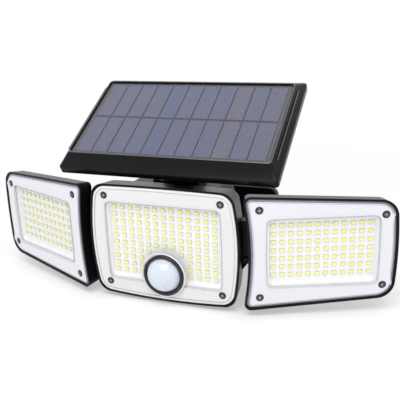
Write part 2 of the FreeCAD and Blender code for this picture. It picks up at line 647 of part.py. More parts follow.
def make_centre_cover():
    body = lamp_plate("centre_cover", COVER_FRONT, "cover_wall", LAMP_INSET)
    size = ("window_width", "window_height", "window_corner")
    raised = f"{COVER_FRONT} - window_rise"
    pad_rounded(body, "window", "XZ", raised, size, "window_rise + 0.1", 1, WINDOW_AT)
    inside = ("window_width - 2 * cover_wall", "window_height - 2 * cover_wall", "window_corner - 1")
    cut_rounded(body, "window_back", "XZ", COVER_BACK, inside, "window_rise", -1, WINDOW_AT)
    cut_circles(body, "sensor_hole", "XZ", COVER_BACK, "ring_width / 2 + 0.2", SENSOR, "cover_wall + window_rise + 1", -1)
    cut_circles(body, "screw_holes", "XZ", COVER_BACK, "screw_shank / 2 + screw_fit", CENTRE_SCREWS, "cover_wall + 1", -1)
    cut_circles(body, "screw_seats", "XZ", f"{COVER_FRONT} + 0.8", "screw_head / 2 + screw_fit", CENTRE_SCREWS, "2", -1)


def make_centre_gasket():
    body = lamp_plate("centre_gasket", COVER_BACK, "gasket_wall", f"{LAMP_INSET} + 0.3")
    sketch = new_sketch(body, "opening", "XZ", COVER_BACK)
    draw_lamp_outline(sketch, f"{LAMP_INSET} + 0.3 + gasket_band")
    cut(sketch, "gasket_wall", 1)


def make_centre_reflector():
    """A white tray whose sides slope down to the LEDs."""
    depth = f"board_back - {REFLECTOR_FRONT}"
    body = lamp_plate("centre_reflector", REFLECTOR_FRONT, depth, f"{LAMP_INSET} + 1")
    size = ("window_width - 2 * cover_wall", "window_height - 2 * cover_wall", "window_corner")
    cut_rounded(body, "tray", "XZ", REFLECTOR_FRONT, size, f"{depth} + 1", 1, WINDOW_AT, draft="-30")
    cut_circles(body, "screw_holes", "XZ", REFLECTOR_FRONT, "screw_shank / 2 + screw_fit", CENTRE_SCREWS,
                f"{depth} + 1", 1)
    cut_circles(body, "sensor_hole", "XZ", REFLECTOR_FRONT, "sensor_can / 2 + 1.5", SENSOR, f"{depth} + 1", 1)


def make_led_board(label, width, height, at, placer):
    body = new_body(label)
    placer(body)
    pad_rounded(body, "outline", "XZ", "board_back", (width, height, "2"), "board_wall", 1, at)


def led(x, z):
    back = val("board_back")
    length, height, wall = val("led_length"), val("led_height"), val("led_wall")
    return Part.makeBox(length, wall, height, V(x - length / 2, back - wall, z - height / 2))


def under_dome(column, row):
    """The LEDs that are left out round the sensor. Rows count from the top, columns from the left."""
    if row == 6:
        return 5 <= column <= 7
    return row >= 7 and 4 <= column <= 8


def make_centre_leds():
    shapes = []
    across, up = val("led_pitch_across"), val("led_pitch_up")
    for row in range(LED_ROWS):
        for column in range(LED_COLUMNS):
            if not under_dome(column, row):
                shapes.append(led((column - (LED_COLUMNS - 1) / 2) * across, ((LED_ROWS - 1) / 2 - row) * up))
    group("centre_leds", shapes).Placement = lamp_frame()


def make_screws(label, y, places, shank, frame):
    shapes = [screw(V(val(x), y, val(z)), V(0, 1, 0), shank) for x, z in places]
    group(label, shapes).Placement = frame


def turned(label, profile):
    """A round piece of the motion sensor: a profile of radius and depth, turned about its own axis."""
    body = new_body(label)
    place(body, y="-lamp_reach", z="lamp_rise - sensor_drop")
    sketch = new_sketch(body, "profile", "XY")
    points, bows = profile
    draw_outline(sketch, points, bows)
    feature = body.newObject("PartDesign::Revolution", label + "_turn")
    feature.Profile = sketch
    feature.ReferenceAxis = (sketch, ["V_Axis"])
    feature.Angle = 360
    return body


def make_sensor():
    front = "-(rim_front + ring_rise)"
    seat = f"({COVER_BACK} + 0.2)"
    turned("pir_ring", ([("dome_width / 2 + 0.2", seat), ("ring_width / 2", seat),
                         ("ring_width / 2", f"{front} + 1.2"), ("ring_width / 2 - 0.8", front),
                         ("dome_width / 2 + 0.9", front), ("dome_width / 2 + 0.2", f"{front} + 0.8")], {}))
    base, top = "-(rim_front + 0.5)", "-(rim_front + dome_rise)"
    rise = "(dome_rise - 0.5)"
    body = new_body("pir_dome")
    place(body, y="-lamp_reach", z="lamp_rise - sensor_drop")
    outer = f"((dome_width / 2)^2 + {rise}^2) / (2 * {rise})"
    sketch = new_sketch(body, "profile", "XY")
    draw_dome(sketch, base, top, outer, seat)
    feature = body.newObject("PartDesign::Revolution", "pir_dome_turn")
    feature.Profile = sketch
    feature.ReferenceAxis = (sketch, ["V_Axis"])
    feature.Angle = 360
    can = "sensor_can / 2"
    turned("pir_sensor", ([("0", "board_back"), (f"{can} + 0.7", "board_back"), (f"{can} + 0.7", "board_back - 0.6"),
                           (can, "board_back - 0.6"), (can, "board_back - sensor_can_height"),
                           ("0", "board_back - sensor_can_height")], {}))


def draw_dome(sketch, base, top, outer, seat):
    """Half the section of a domed lens with a flange below it."""
    radius, wall = val(outer), val("dome_wall")
    half, y_base, y_top, y_seat = val("dome_width / 2"), val(base), val(top), val(seat)
    flange = "(ring_width / 2 - 1.5)"
    centre = V(0, y_top + radius, 0)
    inner = radius - wall
    x_inner = math.sqrt(inner ** 2 - (y_base - centre.y) ** 2)
    circle, bore = Part.Circle(centre, V(0, 0, 1), radius), Part.Circle(centre, V(0, 0, 1), inner)
    big = Part.ArcOfCircle(circle, circle.parameter(V(0, y_top, 0)), circle.parameter(V(half, y_base, 0)))
    small = Part.ArcOfCircle(bore, bore.parameter(V(0, y_top + wall, 0)), bore.parameter(V(x_inner, y_base, 0)))
    spots = [V(half, y_base, 0), V(half, y_seat, 0), V(val(flange), y_seat, 0), V(val(flange), y_seat + 0.6, 0),
             V(x_inner, y_seat + 0.6, 0), V(x_inner, y_base, 0)]
    a = sketch.addGeometry(big, False)
    lines = [sketch.addGeometry(Part.LineSegment(p, q), False) for p, q in zip(spots, spots[1:])]
    b = sketch.addGeometry(small, False)
    crown = sketch.addGeometry(Part.LineSegment(V(0, y_top + wall, 0), V(0, y_top, 0)), False)
    chain = [(a, 2), (lines[0], 1)]
    sketch.addConstraint(Sketcher.Constraint("Coincident", a, 2, lines[0], 1))
    for this, after in zip(lines, lines[1:]):
        sketch.addConstraint(Sketcher.Constraint("Coincident", this, 2, after, 1))
    sketch.addConstraint(Sketcher.Constraint("Coincident", lines[-1], 2, b, 2))
    sketch.addConstraint(Sketcher.Constraint("Coincident", b, 1, crown, 1))
    sketch.addConstraint(Sketcher.Constraint("Coincident", crown, 2, a, 1))
    sketch.addConstraint(Sketcher.Constraint("PointOnObject", a, 3, -2))
    sketch.addConstraint(Sketcher.Constraint("Coincident", a, 3, b, 3))
    fix_point(sketch, a, 1, "0", top)
    bind(sketch, "Radius", a, text=outer)
    bind(sketch, "Radius", b, text=f"({outer}) - dome_wall")
    sketch.addConstraint(Sketcher.Constraint("PointOnObject", b, 1, -2))
    bind(sketch, "DistanceX", -1, 1, lines[0], 1, text="dome_width / 2")
    fix_point(sketch, lines[1], 1, "dome_width / 2", seat)
    fix_point(sketch, lines[2], 1, flange, seat)
    fix_point(sketch, lines[3], 1, flange, f"{seat} + 0.6")
    bind(sketch, "DistanceY", -1, 1, lines[4], 1, text=f"{seat} + 0.6")
    sketch.addConstraint(Sketcher.Constraint("Vertical", lines[4]))
    bind(sketch, "DistanceY", -1, 1, lines[4], 2, text=base)
    return chain


# ---------------------------------------------------------------- rear housing and what it holds

REAR_FRONT = "(lamp_depth - rim_front)"
REAR_BACK = f"({REAR_FRONT} + rear_depth)"
REAR_SCREWS = corners("rear_screw_across", "rear_screw_up")
CELL_Y = f"({REAR_BACK} - rear_wall - cradle_wall - cell_width / 2)"
DRIVER_Z = "(-rear_height / 2 + rear_wall + driver_post)"
DRIVER_Y = f"({REAR_FRONT} + gasket_wall + 2 + driver_depth / 2)"
DRIVER_POSTS = [(f"{i} * (driver_width / 2 - 4)", f"{DRIVER_Y} + {j} * (driver_depth / 2 - 3)")
                for i in (-1, 1) for j in (-1, 1)]
BRACKET_Z = "(rear_height / 2)"
BRACKET_SCREWS = [(f"{i} * (bracket_width / 2 - 3.2)", f"bracket_back + bracket_depth / 2 + {j} * (bracket_depth / 2 - 4)")
                  for i in (-1, 1) for j in (-1, 1)]


def make_rear_housing():
    """The box behind the centre lamp, with the tongue that the wall arm holds."""
    body = new_body("rear_housing")
    place_on_lamp(body)
    front = f"{REAR_FRONT} + gasket_wall"
    pad_rounded(body, "block", "XZ", front, ("rear_width", "rear_height", "rear_corner"), "rear_depth - gasket_wall", 1)
    dress(body, "Fillet", "rear_edge", "rear_wall * 1.4", at_y(val(REAR_BACK)))
    cut_rounded(body, "inside", "XZ", front,
                ("rear_width - 2 * rear_wall", "rear_height - 2 * rear_wall", "rear_corner - rear_wall"),
                "rear_depth - gasket_wall - rear_wall", 1)
    pad_circles(body, "bosses", "XZ", front, "3.1", REAR_SCREWS,
                "rear_depth - gasket_wall - rear_wall / 2", 1)
    cut_circles(body, "boss_holes", "XZ", front, "screw_shank / 2 + screw_fit / 2", REAR_SCREWS, "9", 1)
    pad_circles(body, "driver_posts", "XY", "-rear_height / 2 + rear_wall / 2", "2.2", DRIVER_POSTS,
                "driver_post + rear_wall / 2", 1)
    low = "-rear_height / 2"
    cut_circles(body, "button_hole", "XY", low, "button_width / 2 + button_play", [("0", DRIVER_Y)], "rear_wall + 1", 1)
    inside_top = "rear_height / 2 - rear_wall / 2"
    pad_circles(body, "bracket_bosses", "XY", inside_top, "3", BRACKET_SCREWS, "7", -1)
    cut_circles(body, "bracket_holes", "XY", "rear_height / 2", "screw_shank / 2 + screw_fit / 2", BRACKET_SCREWS, "6.5", -1)
    sketch = new_sketch(body, "tongue", "YZ")
    root = f"{REAR_BACK} - rear_wall / 2"
    draw_outline(sketch, [(root, "-neck_tongue_radius - 4"), (f"{REAR_BACK} + 4", "-neck_tongue_radius"),
                          ("neck_back", "-neck_tongue_radius"), ("neck_back", "neck_tongue_radius"),
                          (f"{REAR_BACK} + 4", "neck_tongue_radius"), (root, "neck_tongue_radius + 4")])
    pad(sketch, "neck_tongue_width", middle=True)
    sketch = new_sketch(body, "tongue_end", "YZ")
    draw_circle(sketch, "neck_back", "0", "neck_tongue_radius")
    pad(sketch, "neck_tongue_width", middle=True)
    sketch = new_sketch(body, "tongue_hole", "YZ")
    draw_circle(sketch, "neck_back", "0", "neck_bolt_width / 2 + pivot_play")
    cut(sketch, "neck_tongue_width + 2", middle=True)


def make_rear_gasket():
    body = new_body("rear_gasket")
    place_on_lamp(body)
    pad_rounded(body, "outline", "XZ", REAR_FRONT,
                ("rear_width - 0.6", "rear_height - 0.6", "rear_corner - 0.3"), "gasket_wall", 1)
    inside = ("rear_width - 2 * rear_wall", "rear_height - 2 * rear_wall", "rear_corner - rear_wall")
    cut_rounded(body, "opening", "XZ", REAR_FRONT, inside, "gasket_wall", 1)


def make_battery():
    """Two cells lying in a saddle against the rear wall."""
    for k, place_z in enumerate(("cell_rise - cell_pitch / 2", "cell_rise + cell_pitch / 2"), 1):
        for name, radius, length in ((f"cell_{k}", "cell_width / 2", "cell_length"),
                                     (f"cell_room_{k}", "cell_width / 2 + 0.1", "cell_length + 10")):
            item = doc.addObject("Part::Cylinder", name)
            item.setExpression("Radius", formula(radius))
            item.setExpression("Height", formula(length))
            place(item, f"-({length}) / 2", f"-lamp_reach + {CELL_Y}", f"lamp_rise + {place_z}", V(0, 1, 0), "90")
    cells = doc.addObject("Part::Compound", "battery_cells")
    cells.Links = [doc.getObject("cell_1"), doc.getObject("cell_2")]
    cells.Label = "battery_cells"
    parts["battery_cells"] = cells
    block = doc.addObject("Part::Box", "cradle_block")
    block.setExpression("Length", formula("cell_length - 10"))
    block.setExpression("Width", formula("cradle_wall + cell_width / 2"))
    block.setExpression("Height", formula("cell_pitch + cell_width + 3"))
    place(block, "-cell_length / 2 + 5", f"-lamp_reach + {CELL_Y}", "lamp_rise + cell_rise - (cell_pitch + cell_width + 3) / 2")
    rooms = doc.addObject("Part::MultiFuse", "cell_rooms")
    rooms.Shapes = [doc.getObject("cell_room_1"), doc.getObject("cell_room_2")]
    cradle = doc.addObject("Part::Cut", "battery_cradle")
    cradle.Base, cradle.Tool = block, rooms
    cradle.Label = "battery_cradle"
    parts["battery_cradle"] = cradle


def make_driver():
    body = new_body("driver_board")
    place_on_lamp(body)
    pad_rounded(body, "outline", "XY", DRIVER_Z, ("driver_width", "driver_depth", "1"), "board_wall", 1, ("0", DRIVER_Y))
    body = new_body("button_switch")
    place_on_lamp(body)
    tall = f"driver_post - {BUTTON_TALL} - button_travel - 0.2"
    pad_rounded(body, "case", "XY", DRIVER_Z, ("6", "6", "0.5"), tall, -1, ("0", DRIVER_Y))


BUTTON_TALL = "2.4"


def make_mode_button():
    body = new_body("mode_button")
    place_on_lamp(body)
    low = "-rear_height / 2 - button_proud"
    at = [("0", DRIVER_Y)]
    pad_circles(body, "cap", "XY", low, "button_width / 2", at, f"button_proud + rear_wall + {BUTTON_TALL}", 1)
    pad_circles(body, "flange", "XY", "-rear_height / 2 + rear_wall", "button_width / 2 + 1.4", at, "1", 1)
    dress(body, "Fillet", "cap_edge", "0.8",
          lambda edge: edge.BoundBox.ZLength < 1e-6 and abs(edge.BoundBox.ZMin - val(low)) < 1e-6)


# ---------------------------------------------------------------- solar panel and its bracket

def make_panel_bracket():
    body = new_body("panel_bracket")
    place_on_lamp(body)
    width = "panel_tongue_width + 2 * side_play + 2 * panel_ear_width"
    middle_y = "bracket_back + bracket_depth / 2"
    pad_rounded(body, "foot", "XY", BRACKET_Z, ("bracket_width", "bracket_depth", "3"), "bracket_wall", 1, ("0", middle_y))
    top = f"{BRACKET_Z} + bracket_wall / 2"
    lean = math.degrees(math.atan2(val("panel_pivot_rise - rear_height / 2"), val(f"panel_pivot_back - ({middle_y})")))
    across = f"panel_ear_radius * sin({lean})", f"panel_ear_radius * cos({lean})"
    sketch = new_sketch(body, "side", "YZ")
    draw_outline(sketch, [("bracket_back + 3", top), ("bracket_back + bracket_depth", top),
                          (f"panel_pivot_back + {across[0]}", f"panel_pivot_rise - {across[1]}"),
                          (f"panel_pivot_back - {across[0]}", f"panel_pivot_rise + {across[1]}")])
    pad(sketch, width, middle=True)
    sketch = new_sketch(body, "ear", "YZ")
    draw_circle(sketch, "panel_pivot_back", "panel_pivot_rise", "panel_ear_radius")
    pad(sketch, width, middle=True)
    sketch = new_sketch(body, "slot", "YZ")
    near = "panel_pivot_back - panel_tongue_radius - 4.5"
    far = "panel_pivot_back + 2 * panel_ear_radius"
    floor = f"{BRACKET_Z} + bracket_wall"
    draw_outline(sketch, [(near, floor), (far, floor), (far, "panel_pivot_rise + 2 * panel_ear_radius"),
                          (near, "panel_pivot_rise + 2 * panel_ear_radius")])
    cut(sketch, "panel_tongue_width + 2 * side_play", middle=True)
    sketch = new_sketch(body, "bolt_hole", "YZ")
    draw_circle(sketch, "panel_pivot_back", "panel_pivot_rise", "panel_bolt_width / 2 + pivot_play")
    cut(sketch, f"{width} + 2", middle=True)
    cut_circles(body, "screw_holes", "XY", BRACKET_Z, "screw_shank / 2 + screw_fit", BRACKET_SCREWS, "bracket_wall", 1)


def make_bracket_screws():
    z = val(f"{BRACKET_Z} + bracket_wall")
    shapes = [screw(V(val(x), val(y), z), V(0, 0, -1), val("bracket_wall + screw_bite")) for x, y in BRACKET_SCREWS]
    group("panel_bracket_screws", shapes).Placement = lamp_frame()


PANEL_LOW = "(panel_stand - skirt_drop - band_height)"
PANEL_FLOOR = "(panel_stand - panel_recess - glass_wall - cell_wall - board_wall)"
PANEL_MIDDLE = ("0", "panel_shift")
SOLAR_ROOM = "panel_width - 2 * panel_rim - 2 * solar_margin_side"
SOLAR_ACROSS = f"(({SOLAR_ROOM} + solar_gap_across) / {SOLAR_COLUMNS} - solar_gap_across)"
SOLAR_REACH = "panel_length - 2 * panel_rim - 2 * solar_margin_end"
SOLAR_ALONG = f"(({SOLAR_REACH} + solar_gap_along) / {SOLAR_ROWS} - solar_gap_along)"


def place_on_panel(item):
    place(item, "0", "-lamp_reach + panel_pivot_back", "lamp_rise + panel_pivot_rise", V(1, 0, 0), "panel_angle")


def loft(body, kind, sections):
    """A loft through rounded rectangles: each a height, a width, a length and a corner."""
    sketches = []
    for k, (height, width, length, corner) in enumerate(sections):
        sketch = new_sketch(body, f"{kind}_{k}", "XY", height)
        draw_rounded(sketch, width, length, corner, *PANEL_MIDDLE)
        sketches.append(sketch)
    feature = body.newObject("PartDesign::" + kind, f"{body.Label}_{kind}")
    feature.Profile = sketches[0]
    feature.Sections = sketches[1:]
    feature.Ruled = True
    return feature


PANEL_SCREWS = [(f"{i} * (panel_width / 2 - 8)", f"panel_shift + {j} * (panel_length / 2 - 6)")
                for i in (-1, 0, 1) for j in (-1, 1)]


def make_panel_frame():
    """The panel's moulded frame: a band, a flared skirt and a recess for the solar cells."""
    body = new_body("panel_frame")
    place_on_panel(body)
    wide, long = "panel_width + 2 * skirt_side", "panel_length + 2 * skirt_end"
    pad_rounded(body, "band", "XY", PANEL_LOW, (wide, long, "panel_corner"), "band_height", 1, PANEL_MIDDLE)
    loft(body, "AdditiveLoft", [("panel_stand - skirt_drop", wide, long, "panel_corner"),
                                ("panel_stand", "panel_width", "panel_length", "panel_rim_corner")])
    inside_w, inside_l = f"{wide} - 2 * panel_wall", f"{long} - 2 * panel_wall"
    cut_rounded(body, "back_room", "XY", PANEL_LOW, (inside_w, inside_l, "panel_corner - panel_wall"), "panel_back_wall",
                1, PANEL_MIDDLE)
    loft(body, "SubtractiveLoft", [
        (f"{PANEL_LOW} + panel_back_wall", f"{inside_w} - 2", f"{inside_l} - 2", "panel_corner - panel_wall"),
        (f"{PANEL_FLOOR} - panel_deck", "panel_width - 4 * panel_wall", "panel_length - 4 * panel_wall", "2")])
    cut_rounded(body, "recess", "XY", PANEL_FLOOR,
                ("panel_width - 2 * panel_rim", "panel_length - 2 * panel_rim", "1.2"), "8", 1, PANEL_MIDDLE)
    low = f"{PANEL_LOW} + panel_back_wall"
    pad_circles(body, "bosses", "XY", low, "boss_width / 2", PANEL_SCREWS, f"{PANEL_FLOOR} - ({low})", 1)
    cut_circles(body, "boss_holes", "XY", low, "screw_shank / 2 + screw_fit / 2", PANEL_SCREWS, "5", 1)


def make_panel_layers():
    """The board, the cells and the glass that lie in the recess."""
    width = "panel_width - 2 * panel_rim - 2 * panel_gap"
    length = "panel_length - 2 * panel_rim - 2 * panel_gap"
    body = new_body("panel_board")
    place_on_panel(body)
    pad_rounded(body, "outline", "XY", PANEL_FLOOR, (width, length, "1"), "board_wall", 1, PANEL_MIDDLE)
    body = new_body("panel_glass")
    place_on_panel(body)
    glass = "panel_stand - panel_recess - glass_wall"
    pad_rounded(body, "outline", "XY", glass, (width, length, "1"), "glass_wall", 1, PANEL_MIDDLE)
    shapes = []
    across, along, wall = val(SOLAR_ACROSS), val(SOLAR_ALONG), val("cell_wall")
    for row in range(SOLAR_ROWS):
        for column in range(SOLAR_COLUMNS):
            x = (column - (SOLAR_COLUMNS - 1) / 2) * (across + val("solar_gap_across"))
            y = val("panel_shift") + (row - (SOLAR_ROWS - 1) / 2) * (along + val("solar_gap_along"))
            shapes.append(Part.makeBox(across, along, wall, V(x - across / 2, y - along / 2, val(f"{PANEL_FLOOR} + board_wall"))))
    place_on_panel(group("solar_cells", shapes))


def make_panel_back():
    """The panel's back plate with the tongue that the bracket holds."""
    body = new_body("panel_back")
    place_on_panel(body)
    wide = "panel_width + 2 * skirt_side - 2 * panel_wall - 2 * panel_gap"
    long = "panel_length + 2 * skirt_end - 2 * panel_wall - 2 * panel_gap"
    pad_rounded(body, "plate", "XY", PANEL_LOW, (wide, long, "panel_corner - panel_wall - 0.2"), "panel_back_wall",
                1, PANEL_MIDDLE)
    sketch = new_sketch(body, "tongue", "YZ")
    draw_outline(sketch, [("-panel_tongue_radius", "0"), ("panel_tongue_radius", "0"),
                          ("panel_tongue_radius + 3", f"{PANEL_LOW} + panel_back_wall / 2"),
                          ("-panel_tongue_radius - 3", f"{PANEL_LOW} + panel_back_wall / 2")])
    pad(sketch, "panel_tongue_width", middle=True)
    sketch = new_sketch(body, "tongue_end", "YZ")
    draw_circle(sketch, "0", "0", "panel_tongue_radius")
    pad(sketch, "panel_tongue_width", middle=True)
    sketch = new_sketch(body, "tongue_hole", "YZ")
    draw_circle(sketch, "0", "0", "panel_bolt_width / 2 + pivot_play")
    cut(sketch, "panel_tongue_width + 2", middle=True)
    cut_circles(body, "screw_holes", "XY", PANEL_LOW, "screw_shank / 2 + screw_fit", PANEL_SCREWS, "panel_back_wall", 1)
    z = val(PANEL_LOW)
    shapes = [screw(V(val(x), val(y), z), V(0, 0, 1), val("panel_back_wall + 4.5")) for x, y in PANEL_SCREWS]
    place_on_panel(group("panel_screws", shapes))


# ---------------------------------------------------------------- side lamps

def make_side_lamp(side):
    """A side lamp. Its frame has its origin at the middle of its LEDs, across, and of its outline,
    up; +X points outwards on the right lamp, and the left lamp is its mirror image."""
    name = "right" if side > 0 else "left"

    def out(text):
        return text if side > 0 else f"-({text})"

    def place_on_side(item):
        turn = "swing_angle"
        x = f"hinge_across + side_outward * cos({turn}) + side_forward * sin({turn})"
        y = f"-lamp_reach + hinge_back + side_outward * sin({turn}) - side_forward * cos({turn})"
        place(item, out(x), y, "lamp_rise", V(0, 0, side), turn)

    def draw_side(sketch, inset="0"):
        slope = "(side_inner_height - side_outer_height) / 2 / (side_inner + side_outer)"
        inner, outer = f"-side_inner + ({inset})", f"side_outer - ({inset})"
        low = f"side_inner_height / 2 - ({inset}) * (1 + {slope})"
        high = f"side_outer_height / 2 - ({inset}) * (1 - {slope})"
        points = [(out(inner), f"-({low})"), (out(outer), f"-({high})"), (out(outer), high), (out(inner), low)]
        rounds = {k: f"max(side_{'inner' if k in (0, 3) else 'outer'}_corner - ({inset}); 0.6)" for k in range(4)}
        draw_outline(sketch, points, {1: (high, "side_outer_bow"), 3: (low, "-side_inner_bow")}, rounds)

    def side_plate(label, front, wall, inset):
        body = new_body(f"{name}_{label}")
        place_on_side(body)
        sketch = new_sketch(body, "outline", "XZ", front)
        draw_side(sketch, inset)
        pad(sketch, wall, 1)
        return body

    screws = [(out("-side_screw_inner"), f"{j} * side_screw_inner_up / 2") for j in (-1, 1)]
    screws += [(out("side_screw_outer"), f"{j} * side_screw_outer_up / 2") for j in (-1, 1)]
    window_at = (out("(side_window_outer - side_window_inner) / 2"), "0")
    window = ("side_window_inner + side_window_outer", "side_window_height", "window_corner")
    rear = "side_depth - rim_front"

    body = new_body(f"{name}_housing")
    place_on_side(body)
    sketch = new_sketch(body, "outline", "XZ", "-rim_front")
    draw_side(sketch)
    pad(sketch, "side_depth", 1, draft="-lamp_draft")
    dress(body, "Fillet", "rear_edge", "lamp_wall", at_y(val(rear)))
    sketch = new_sketch(body, "inside", "XZ", "-rim_front")
    draw_side(sketch, "lamp_wall / cos(lamp_draft)")
    cut(sketch, "side_depth - lamp_wall", 1, draft="-lamp_draft")
    pad_circles(body, "bosses", "XZ", "board_back", "boss_width / 2", screws, f"{rear} - board_back - lamp_wall / 2", 1)
    depth = f"side_screw_length + {COVER_FRONT} + 0.8 - board_back + 1"
    cut_circles(body, "boss_holes", "XZ", "board_back", "screw_shank / 2 + screw_fit / 2", screws, depth, 1)

    foot_screws = make_side_arm(name, out, place_on_side, rear)
    cut_circles(body, "arm_screw_holes", "XZ", rear, "screw_shank / 2 + screw_fit / 2", foot_screws, "lamp_wall + 1", -1)

    inset = LAMP_INSET
    body = side_plate("cover", COVER_FRONT, "cover_wall", inset)
    pad_rounded(body, "window", "XZ", f"{COVER_FRONT} - window_rise", window, "window_rise + 0.1", 1, window_at)
    inside = (f"{window[0]} - 2 * cover_wall", f"{window[1]} - 2 * cover_wall", "window_corner - 1")
    cut_rounded(body, "window_back", "XZ", COVER_BACK, inside, "window_rise", -1, window_at)
    cut_circles(body, "screw_holes", "XZ", COVER_BACK, "screw_shank / 2 + screw_fit", screws, "cover_wall + 1", -1)
    cut_circles(body, "screw_seats", "XZ", f"{COVER_FRONT} + 0.8", "screw_head / 2 + screw_fit", screws, "2", -1)

    depth = f"board_back - {REFLECTOR_FRONT}"
    body = side_plate("reflector", REFLECTOR_FRONT, depth, f"{inset} + 1")
    size = (inside[0], inside[1], "window_corner")
    cut_rounded(body, "tray", "XZ", REFLECTOR_FRONT, size, f"{depth} + 1", 1, window_at, draft="-30")
    cut_circles(body, "screw_holes", "XZ", REFLECTOR_FRONT, "screw_shank / 2 + screw_fit", screws, f"{depth} + 1", 1)

    body = side_plate("gasket", COVER_BACK, "gasket_wall", f"{inset} + 0.3")
    sketch = new_sketch(body, "opening", "XZ", COVER_BACK)
    draw_side(sketch, f"{inset} + 0.3 + gasket_band")
    cut(sketch, "gasket_wall", 1)

    make_led_board(f"{name}_led_board", f"{window[0]} - 2", f"{window[1]} - 2", window_at, place_on_side)
    shapes = []
    pitch = val("side_led_pitch")
    for row in range(SIDE_LED_ROWS):
        for column in range(SIDE_LED_COLUMNS):
            x = (column - (SIDE_LED_COLUMNS - 1) / 2) * pitch
            z = ((SIDE_LED_ROWS - 1) / 2 - row) * pitch + val("side_led_rise")
            shapes.append(led(x, z))
    place_on_side(group(f"{name}_leds", shapes))
    heads = [screw(V(val(x), val(f"{COVER_FRONT} + 0.8"), val(z)), V(0, 1, 0), val("side_screw_length")) for x, z in screws]
    place_on_side(group(f"{name}_cover_screws", heads))

    make_hinge_pin(name, side)


def make_side_arm(name, out, place_on_side, rear):
    """A foot on the lamp's back, and a knuckle on the hinge pin."""
    body = new_body(f"{name}_arm")
    place_on_side(body)
    pin_x, pin_y = "-side_outward", "side_forward"
    foot_width = "foot_reach + 3"
    foot_at = (out(f"{pin_x} - 3 + ({foot_width}) / 2"), "hinge_rise")
    low = "hinge_rise - knuckle_height / 2"
    pad_rounded(body, "foot", "XZ", rear, (foot_width, "foot_height", "4"), "foot_wall", 1, foot_at)
    sketch = new_sketch(body, "web", "XY", low)
    points = [(f"{pin_x} - 3", rear), (f"{pin_x} + foot_reach / 2", rear),
              (f"{pin_x} + foot_reach / 2", f"{rear} + foot_wall"), (f"{pin_x} + lug_radius", pin_y),
              (f"{pin_x} - lug_radius + 1", pin_y)]
    draw_outline(sketch, [(out(x), y) for x, y in points])
    pad(sketch, "knuckle_height", 1)
    pad_circles(body, "knuckle", "XY", low, "lug_radius", [(out(pin_x), pin_y)],
                "knuckle_height", 1)
    cut_circles(body, "pin_hole", "XY", low, "pin_width / 2 + pivot_play",
                [(out(pin_x), pin_y)], "knuckle_height", 1)
    screws = [(out(f"{pin_x} + {along}"), f"hinge_rise + {j} * (foot_height / 2 - 4)")
              for along in ("foot_reach / 2 + 4", "foot_reach - 4") for j in (-1, 1)]
    cut_circles(body, "screw_holes", "XZ", rear, "screw_shank / 2 + screw_fit", screws, "foot_wall", 1)
    y = val(f"{rear} + foot_wall")
    shapes = [screw(V(val(x), y, val(z)), V(0, -1, 0), val("foot_wall + lamp_wall + 1")) for x, z in screws]
    place_on_side(group(f"{name}_arm_screws", shapes))
    return screws


def make_hinge_pin(name, side):
    """The pin through both lugs, and the two bushes beside the knuckle."""
    top = "knuckle_height / 2 + bush_height + 2 * bush_play + lug_wall"
    x, y = f"{side} * hinge_across", "-lamp_reach + hinge_back"
    stem = doc.addObject("Part::Cylinder", name + "_pin_stem")
    stem.setExpression("Radius", formula("pin_width / 2"))
    stem.setExpression("Height", formula(f"2 * ({top}) + 1"))
    place(stem, x, y, f"lamp_rise + hinge_rise - ({top}) - 1")
    head = doc.addObject("Part::Cylinder", name + "_pin_head")
    head.setExpression("Radius", formula("pin_head / 2"))
    head.Height = 1.6
    place(head, x, y, f"lamp_rise + hinge_rise + {top}")
    pin = doc.addObject("Part::Fuse", name + "_hinge_pin")
    pin.Base, pin.Tool = stem, head
    pin.Label = name + "_hinge_pin"
    parts[pin.Label] = pin
    tubes = []
    for end, level in (("upper", "knuckle_height / 2 + bush_play"), ("lower", "-(knuckle_height / 2 + bush_play + bush_height)")):
        tube = doc.addObject("Part::Cylinder", f"{name}_{end}_bush_blank")
        tube.setExpression("Radius", formula("bush_width / 2"))
        tube.setExpression("Height", formula("bush_height"))
        place(tube, x, y, f"lamp_rise + hinge_rise + {level}")
        tubes.append(tube)
    blanks = doc.addObject("Part::Compound", name + "_bush_blanks")
    blanks.Links = tubes
    bore = doc.addObject("Part::Cylinder", name + "_bush_bore")
    bore.setExpression("Radius", formula("pin_width / 2 + pivot_play"))
    bore.setExpression("Height", formula(f"2 * ({top})"))
    place(bore, x, y, f"lamp_rise + hinge_rise - ({top})")
    bushes = doc.addObject("Part::Cut", name + "_hinge_bushes")
    bushes.Base, bushes.Tool = blanks, bore
    bushes.Label = name + "_hinge_bushes"
    parts[bushes.Label] = bushes


# ---------------------------------------------------------------- the whole light

def make_light():
    make_wall_plate()
    make_wall_arm()
    make_arm_screws()
    make_bolt("neck", "neck_bolt_width", "arm_width", NECK_Y, NECK_Z)
    make_centre_housing()
    make_centre_cover()
    make_centre_gasket()
    make_centre_reflector()
    make_led_board("centre_led_board", "window_width - 2", "window_height - 2", WINDOW_AT, place_on_lamp)
    make_centre_leds()
    seat = val(f"{COVER_FRONT} + 0.8")
    make_screws("centre_cover_screws", seat, CENTRE_SCREWS, val("cover_screw_length"), lamp_frame())
    make_sensor()
    make_rear_housing()
    make_rear_gasket()
    floor = val(f"{REAR_FRONT} - lamp_wall")
    make_screws("rear_screws", floor, REAR_SCREWS, val("lamp_wall + gasket_wall + screw_bite"), lamp_frame())
    make_battery()
    make_driver()
    make_mode_button()
    make_panel_bracket()
    make_bracket_screws()
    make_bolt("panel", "panel_bolt_width", "panel_tongue_width + 2 * side_play + 2 * panel_ear_width",
              "-lamp_reach + panel_pivot_back", "lamp_rise + panel_pivot_rise")
    make_panel_frame()
    make_panel_layers()
    make_panel_back()
    make_side_lamp(-1)
    make_side_lamp(1)


